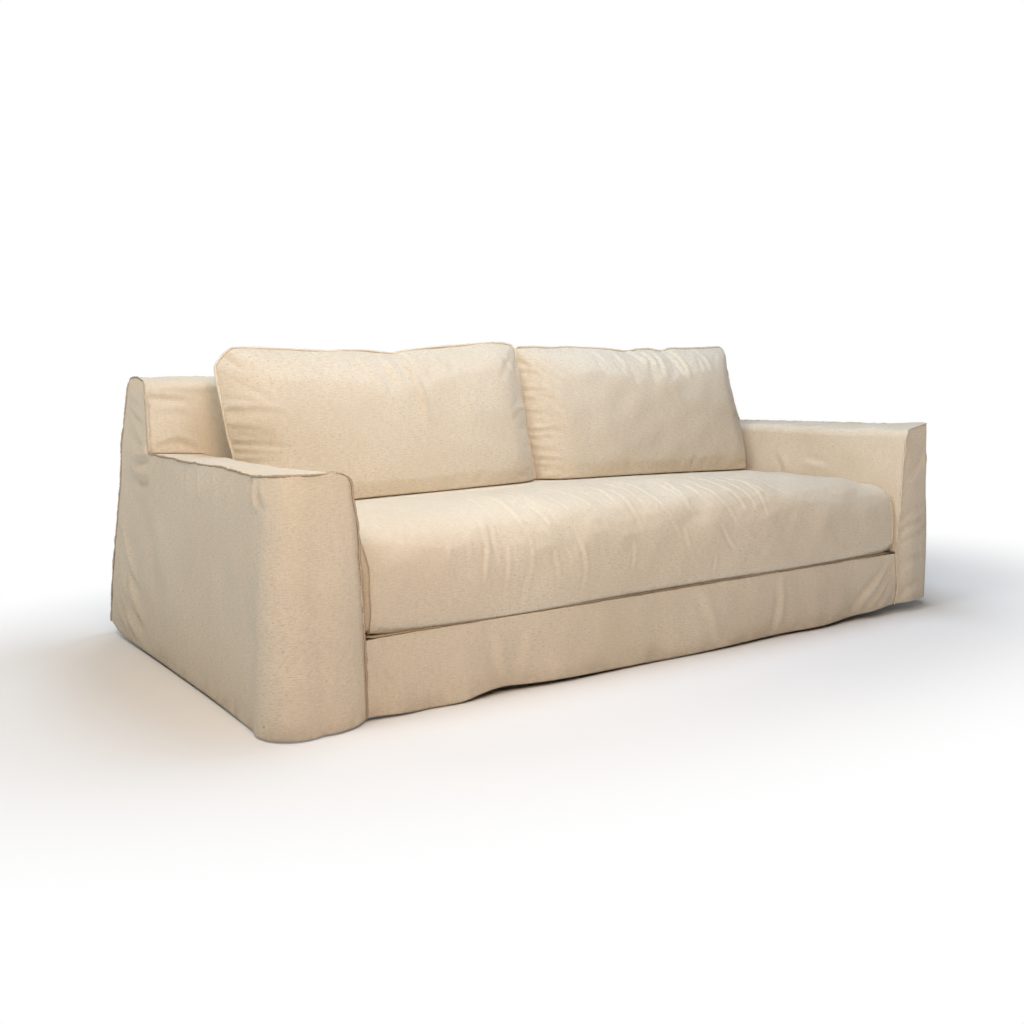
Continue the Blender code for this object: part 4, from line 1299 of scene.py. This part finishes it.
def buildSeat(cloth):
    bm = openMesh(frame["nodes"]["seat_cushion"].data)
    bmesh.ops.remove_doubles(bm, verts=bm.verts, dist=1e-5)
    piece = placed("seat_cushion_cloth", closeMesh(bm, bpy.data.meshes.new("seat_cushion_cloth")))
    voxels = piece.modifiers.new("voxels", "REMESH")
    voxels.mode = "VOXEL"
    voxels.voxel_size = seat["voxel"]
    applyModifiers(piece)
    places = vectors(piece.data.vertices, "co")
    inset = vectors(piece.data.vertex_normals, "vector") * (seat["inset"] * seatFree(places))[:, None]
    move(piece.data, places - inset)
    fillWithAir(piece, seat, seatFree)
    refine(piece)
    shapeSeat(piece)
    x, y, z = vectors(piece.data.vertices, "co").T
    rise = seat["creaseGain"] * creaseRise(x, -y - z, seatCreases)
    rise += sum(unevenness(x, -y - z, *swell) for swell in seat["swells"])
    rise *= smoothStep(z, cover["deckZ"], cover["deckZ"] + seat["foldsRise"])
    rise *= smoothStep(-y, *seat["foldsFromY"])
    finishCushion(piece, rise, x, -y - z, "seat_cushion", cloth)
    return piece


# Lets the front hang over the skirt, bulges the right end and refines the creased part
def shapeSeat(piece):
    places = vectors(piece.data.vertices, "co")
    x, y, z = places.T
    low = 1 - smoothStep(z, *seat["lowBand"])
    below = np.clip(seat["tuckTop"] - z, 0, 0.9 * seat["tuckRadius"])
    tuck = seat["tuckRadius"] - np.sqrt(seat["tuckRadius"] ** 2 - below ** 2)
    y = y + np.minimum(tuck, np.maximum(0, -y - seat["lipFront"]))
    hang = smoothStep(-y, *seat["hangBand"]) * low
    sag = np.array([curve(seat["sag"], place) for place in x])
    bulge = smoothStep(x, *seat["bulgeX"]) * smoothStep(-y, *seat["bulgeY"])
    bulge *= smoothStep(z, *seat["bulgeFoot"]) * (1 - smoothStep(z, *seat["bulgeTop"]))
    places[:, 1] = y
    places[:, 2] += sag * hang
    places[:, 0] += seat["press"] * bulge
    piece.data.vertices.foreach_set("co", places.ravel())
    bm = openMesh(piece.data)
    bm.normal_update()
    (west, east), (front, rear) = seat["creasedX"], seat["creasedY"]
    creased = [face for face in bm.faces if face.normal.z - face.normal.y > 0.5
               and west < face.calc_center_median().x < east and front < face.calc_center_median().y < rear]
    edges = list({edge for face in creased for edge in face.edges})
    refined = bmesh.ops.subdivide_edges(bm, edges=edges, cuts=1, use_grid_fill=True)["geom_inner"]
    refined = [part for part in refined if isinstance(part, bmesh.types.BMVert)]
    for _ in range(3):
        bmesh.ops.smooth_vert(bm, verts=refined, factor=0.5,
                              use_axis_x=True, use_axis_y=True, use_axis_z=True)
    closeMesh(bm, piece.data)


# A narrow flange round the seat cushion's end, from its bottom front over to the rear
def addEndSeam(name, piece, x, looks, cloth, seed):
    places = vectors(piece.data.vertices, "co")
    ring = places[np.abs(places[:, 0] - x) < 0.009]
    centre = ring[:, 1:].min(axis=0) * 0.5 + ring[:, 1:].max(axis=0) * 0.5
    away = ring[:, 1:] - centre
    angles, reach = np.arctan2(away[:, 1], -away[:, 0]), np.hypot(*away.T)
    line, outwards = [], []
    for angle in np.linspace(*map(radians, seat["seamAngles"]), seat["seamSteps"]):
        near = np.abs(angles - angle) < 0.03
        if near.any():
            distance = reach[near].max()
            way = np.array([0.0, -cos(angle), sin(angle)])
            line.append(np.array([x, *centre]) + way * distance)
            outwards.append(way)
    line = np.array(line)
    for _ in range(3):
        line[1:-1] = (line[:-2] + 2 * line[1:-1] + line[2:]) / 4
    outwards = np.array(outwards) + (seat["seamLean"] * np.sign(x), 0, 0)
    return addSeam(name, line, outwards, np.tile(looks, (len(line), 1)), cloth, None, seed, "linen_cushion")


# A knife-edge cushion: two panels from a shared edge, filled between them
def buildBackCushion(side, cloth):
    form, name = backCushions, "back_cushion_cloth_" + side
    bm = bmesh.new()
    bmesh.ops.create_cube(bm, size=1.0)
    for axis, count in ((0, form["columns"]), (1, 2), (2, form["rise"])):
        edges = [edge for edge in bm.edges if abs(edge.verts[0].co[axis] - edge.verts[1].co[axis]) > 0.5]
        bmesh.ops.subdivide_edges(bm, edges=edges, cuts=count - 1, use_grid_fill=True)
    pinned, caps = [], []
    for vert in bm.verts:
        a, b, c = (value + 0.5 for value in vert.co)
        pinned.append(min(a, 1 - a, c, 1 - c) < 1e-4)
        caps.append(form["rearCap"] if b > 0.75 else 1.0)
        vert.co = cushionPlace(side, a, b, c)
    bm.normal_update()
    bmesh.ops.recalc_face_normals(bm, faces=bm.faces)
    piece = placed(name, closeMesh(bm, bpy.data.meshes.new(name)))
    fillWithAir(piece, form, lambda places: np.array(caps), np.array(pinned))
    refine(piece)
    x, _, z = vectors(piece.data.vertices, "co").T
    facing = -vectors(piece.data.vertex_normals, "vector")[:, 1]
    rise = form["puckerGain"] * creaseRise(x, z, edgePuckers[side], rooted=True)
    rise += form["fanGain"] * creaseRise(x, z, topFans[side])
    seed, size, height = form["swell"]
    rise += unevenness(x, z, seed + len(side), size, height)
    rise *= smoothStep(facing, -0.1, 0.3) * smoothStep(z, 0.432, 0.465)
    finishCushion(piece, rise, x, z, "back_cushion_" + side, cloth)
    upright, along = (steps(count) for count in form["pipingSteps"])
    edge = [(0.0, c) for c in upright] + [(a, 1.0) for a in along] + [(1.0, 1 - c) for c in upright]
    line = np.array([cushionPlace(side, a, 0.5, c) for a, c in edge])
    out = np.cross(np.gradient(line, axis=0), (0.0, 1.0, 0.0))
    line += piping["out"] * out / np.linalg.norm(out, axis=1, keepdims=True)
    addPiping("back_cushion_piping_" + side, line, seamClothPaintedHighlight, slotOf("back_cushion_" + side), 71 + len(side))


# Place in a back cushion: a runs across, b from front to rear, c up
def cushionPlace(side, a, b, c):
    form = backCushions
    low, high = cushionSides[side]
    drawn = mix(form["cornerIn"], form["sideIn"], 1 - abs(2 * c - 1) ** 4)
    height = mix(low[0][0], low[-1][0], c)
    lowX, highX = curve(low, height) + drawn, curve(high, height) - drawn
    x = mix(lowX, highX, a)
    top = curve(cushionTop, x)
    z = mix(curve(seatLine, x) + form["contact"], top, c)
    isLow = x - lowX < highX - x
    reach, power = form["corners"][side][0 if isLow else 1]
    fromSide, fromTop = min(x - lowX, highX - x), top - z
    if fromSide < reach and fromTop < reach:
        over, up = 1 - fromSide / reach, 1 - fromTop / reach
        inward = 1 - max(over, up) / max(1e-9, (over ** power + up ** power) ** (1 / power))
        x += inward * over * reach * (1 if isLow else -1)
        z -= inward * up * reach
    full = curve(form["fullAcross"], min(a, 1 - a)) * curve(form["fullUp"], c)
    inward = a if side == "left" else 1 - a
    forward = mix(form["outerForward"], form["middleForward"], inward)
    nearEdge = max(0, 1 - inward / form["edgeShare"]) ** 2
    forward += (curve(form["forward"][side], z) - form["outerForward"]) * nearEdge
    front = 0.5 * form["thickness"] * full * form["slack"] + form["edgeHalf"]
    rear = (0.5 * form["thickness"] + forward) * ramp(full * form["rearFull"]) + form["edgeHalf"]
    seam = faceY(z) - form["contact"] - 0.5 * form["thickness"] - form["edgeRear"] - forward
    return Vector((x, mix(seam - front, seam + rear, b), z))


def addFloor():
    bm = bmesh.new()
    bmesh.ops.create_circle(bm, cap_ends=True, segments=96, radius=floor["radius"])
    mesh = closeMesh(bm, bpy.data.meshes.new("floor"))
    shader = Shader("floor")
    place = shader.stretched(shader.add("TexCoord", None, 3), floor["squeeze"], 1.0)
    away = shader.add("VectorMath", {"operation": "LENGTH"}, 1, i0=place)
    shader.finish(Base_Color=(*floor["colour"], 1.0), Roughness=floor["roughness"],
                  Specular_IOR_Level=floor["specular"])
    glow = shader.add("Emission", None, 0, Color=(1.0, 1.0, 1.0, 1.0), Strength=1.0)
    ground = Socket(shader.tree, shader.surface.outputs[0])
    fade = away.band(floor["fadeStart"], floor["fadeEnd"])
    blend = shader.add("MixShader", None, 0, i0=fade, i1=ground, i2=glow)
    feed(shader.tree, shader.tree.nodes["Material Output"].inputs["Surface"], blend)
    mesh.materials.append(shader.material)
    plane = placed("floor", mesh)
    plane.location.z = -floor["drop"]


def addWorld():
    sky = bpy.data.worlds.new("sky")
    bpy.context.scene.world = sky
    sky.use_nodes = True
    tree = sky.node_tree
    ambient, backdrop = tree.nodes["Background"], tree.nodes.new("ShaderNodeBackground")
    ambient.inputs["Color"].default_value = (*world["ambient"], 1.0)
    backdrop.inputs["Color"].default_value = (*world["backdrop"], 1.0)
    path, blend = tree.nodes.new("ShaderNodeLightPath"), tree.nodes.new("ShaderNodeMixShader")
    for slot, source in enumerate((path.outputs["Is Camera Ray"], ambient.outputs[0], backdrop.outputs[0])):
        tree.links.new(source, blend.inputs[slot])
    tree.links.new(blend.outputs[0], tree.nodes["World Output"].inputs["Surface"])


# Assembly

addCamera()
addLamps()
addWorld()
addFloor()
baseCloth = makeLinen("base_linen")
cushionCloth = makeLinen("cushion_linen")
# a paler copy of the linen for seams and piping: painted highlight
seamClothPaintedHighlight = makeLinen("seam_linen_painted_highlight", 0.25)
pieces, outer, rearSeam = buildCover(baseCloth)

# height, painted shade with thread colour at the root and at the raw edge: up the rear, over the top,
# down the post, along the arm and down the front; the left seams darker, the right front one pale where it is
# lit
seamLooks = {
    "left": ((1.1, 1.0, 0.8), (1.1, 1.0, 0.7), (2.5, 0.55, 0.35), (1.1, 1.0, 0.7), (1.3, 1.0, 0.9)),
    "right": ((1.0, 0.9, 0.6), (0.9, 0.8, 0.5), (1.5, 0.2, 0.1), (0.9, 0.5, 0.3), (1.9, 0.1, 0.0)),
}
for side in (left, right):
    name, sign = side["name"], side["sign"]
    columns = outer[name]
    line = np.concatenate([columns[0][:-1], columns[:, -1], columns[-1][-2::-1]])
    rear, front = len(columns[0]) - 1, len(columns[-1]) - 1
    post = cells["overTop"] + cells["post"]
    arm = len(columns) - post
    parts = (rear, cells["overTop"], cells["post"], arm, front)
    outwards = np.repeat([(0.7 * sign, 0.7, 0), (0.5 * sign, -0.3, 0.8), (-0.75 * sign, -0.6, 0.1),
                          (0.5 * sign, 0, 0.85), (-0.5 * sign, -0.85, 0)], parts, axis=0)
    looks = np.repeat(np.array(seamLooks[name]), parts, axis=0)
    corner = sum(parts[:4]) - cells["across"] - cells["arc"] // 2 - cells["corner"] // 2
    fromCorner = (np.arange(len(line)) - corner) / flange["cornerSpan"]
    looks[:, 0] *= 1 - side["cornerFlat"] * np.exp(-fromCorner ** 2)
    addSeam("seam_" + name, line, outwards, looks, seamClothPaintedHighlight, "welt_" + name, 61 + sign)
# height, painted shade with thread colour at the root and at the raw edge, for the rear seam
backStand, backLook = (np.tile(row, (len(rearSeam), 1)) for row in ((0, 0.7, 0.7), (1.0, 0.8, 0.5)))
addSeam("seam_back", rearSeam, backStand, backLook, seamClothPaintedHighlight, "welt_back", 67)
print("seams done")
seatPiece = buildSeat(cushionCloth)
# height, painted shade with thread colour at the root and at the raw edge, for the seat's end seams
addEndSeam("seat_end_seam_left", seatPiece, -seat["endX"], (1.0, 0.3, 0.2), cushionCloth, 79)
addEndSeam("seat_end_seam_right", seatPiece, seat["endX"] + 0.008, (0.5, 0.3, 0.1), cushionCloth, 81)
for side in ("left", "right"):
    buildBackCushion(side, cushionCloth)
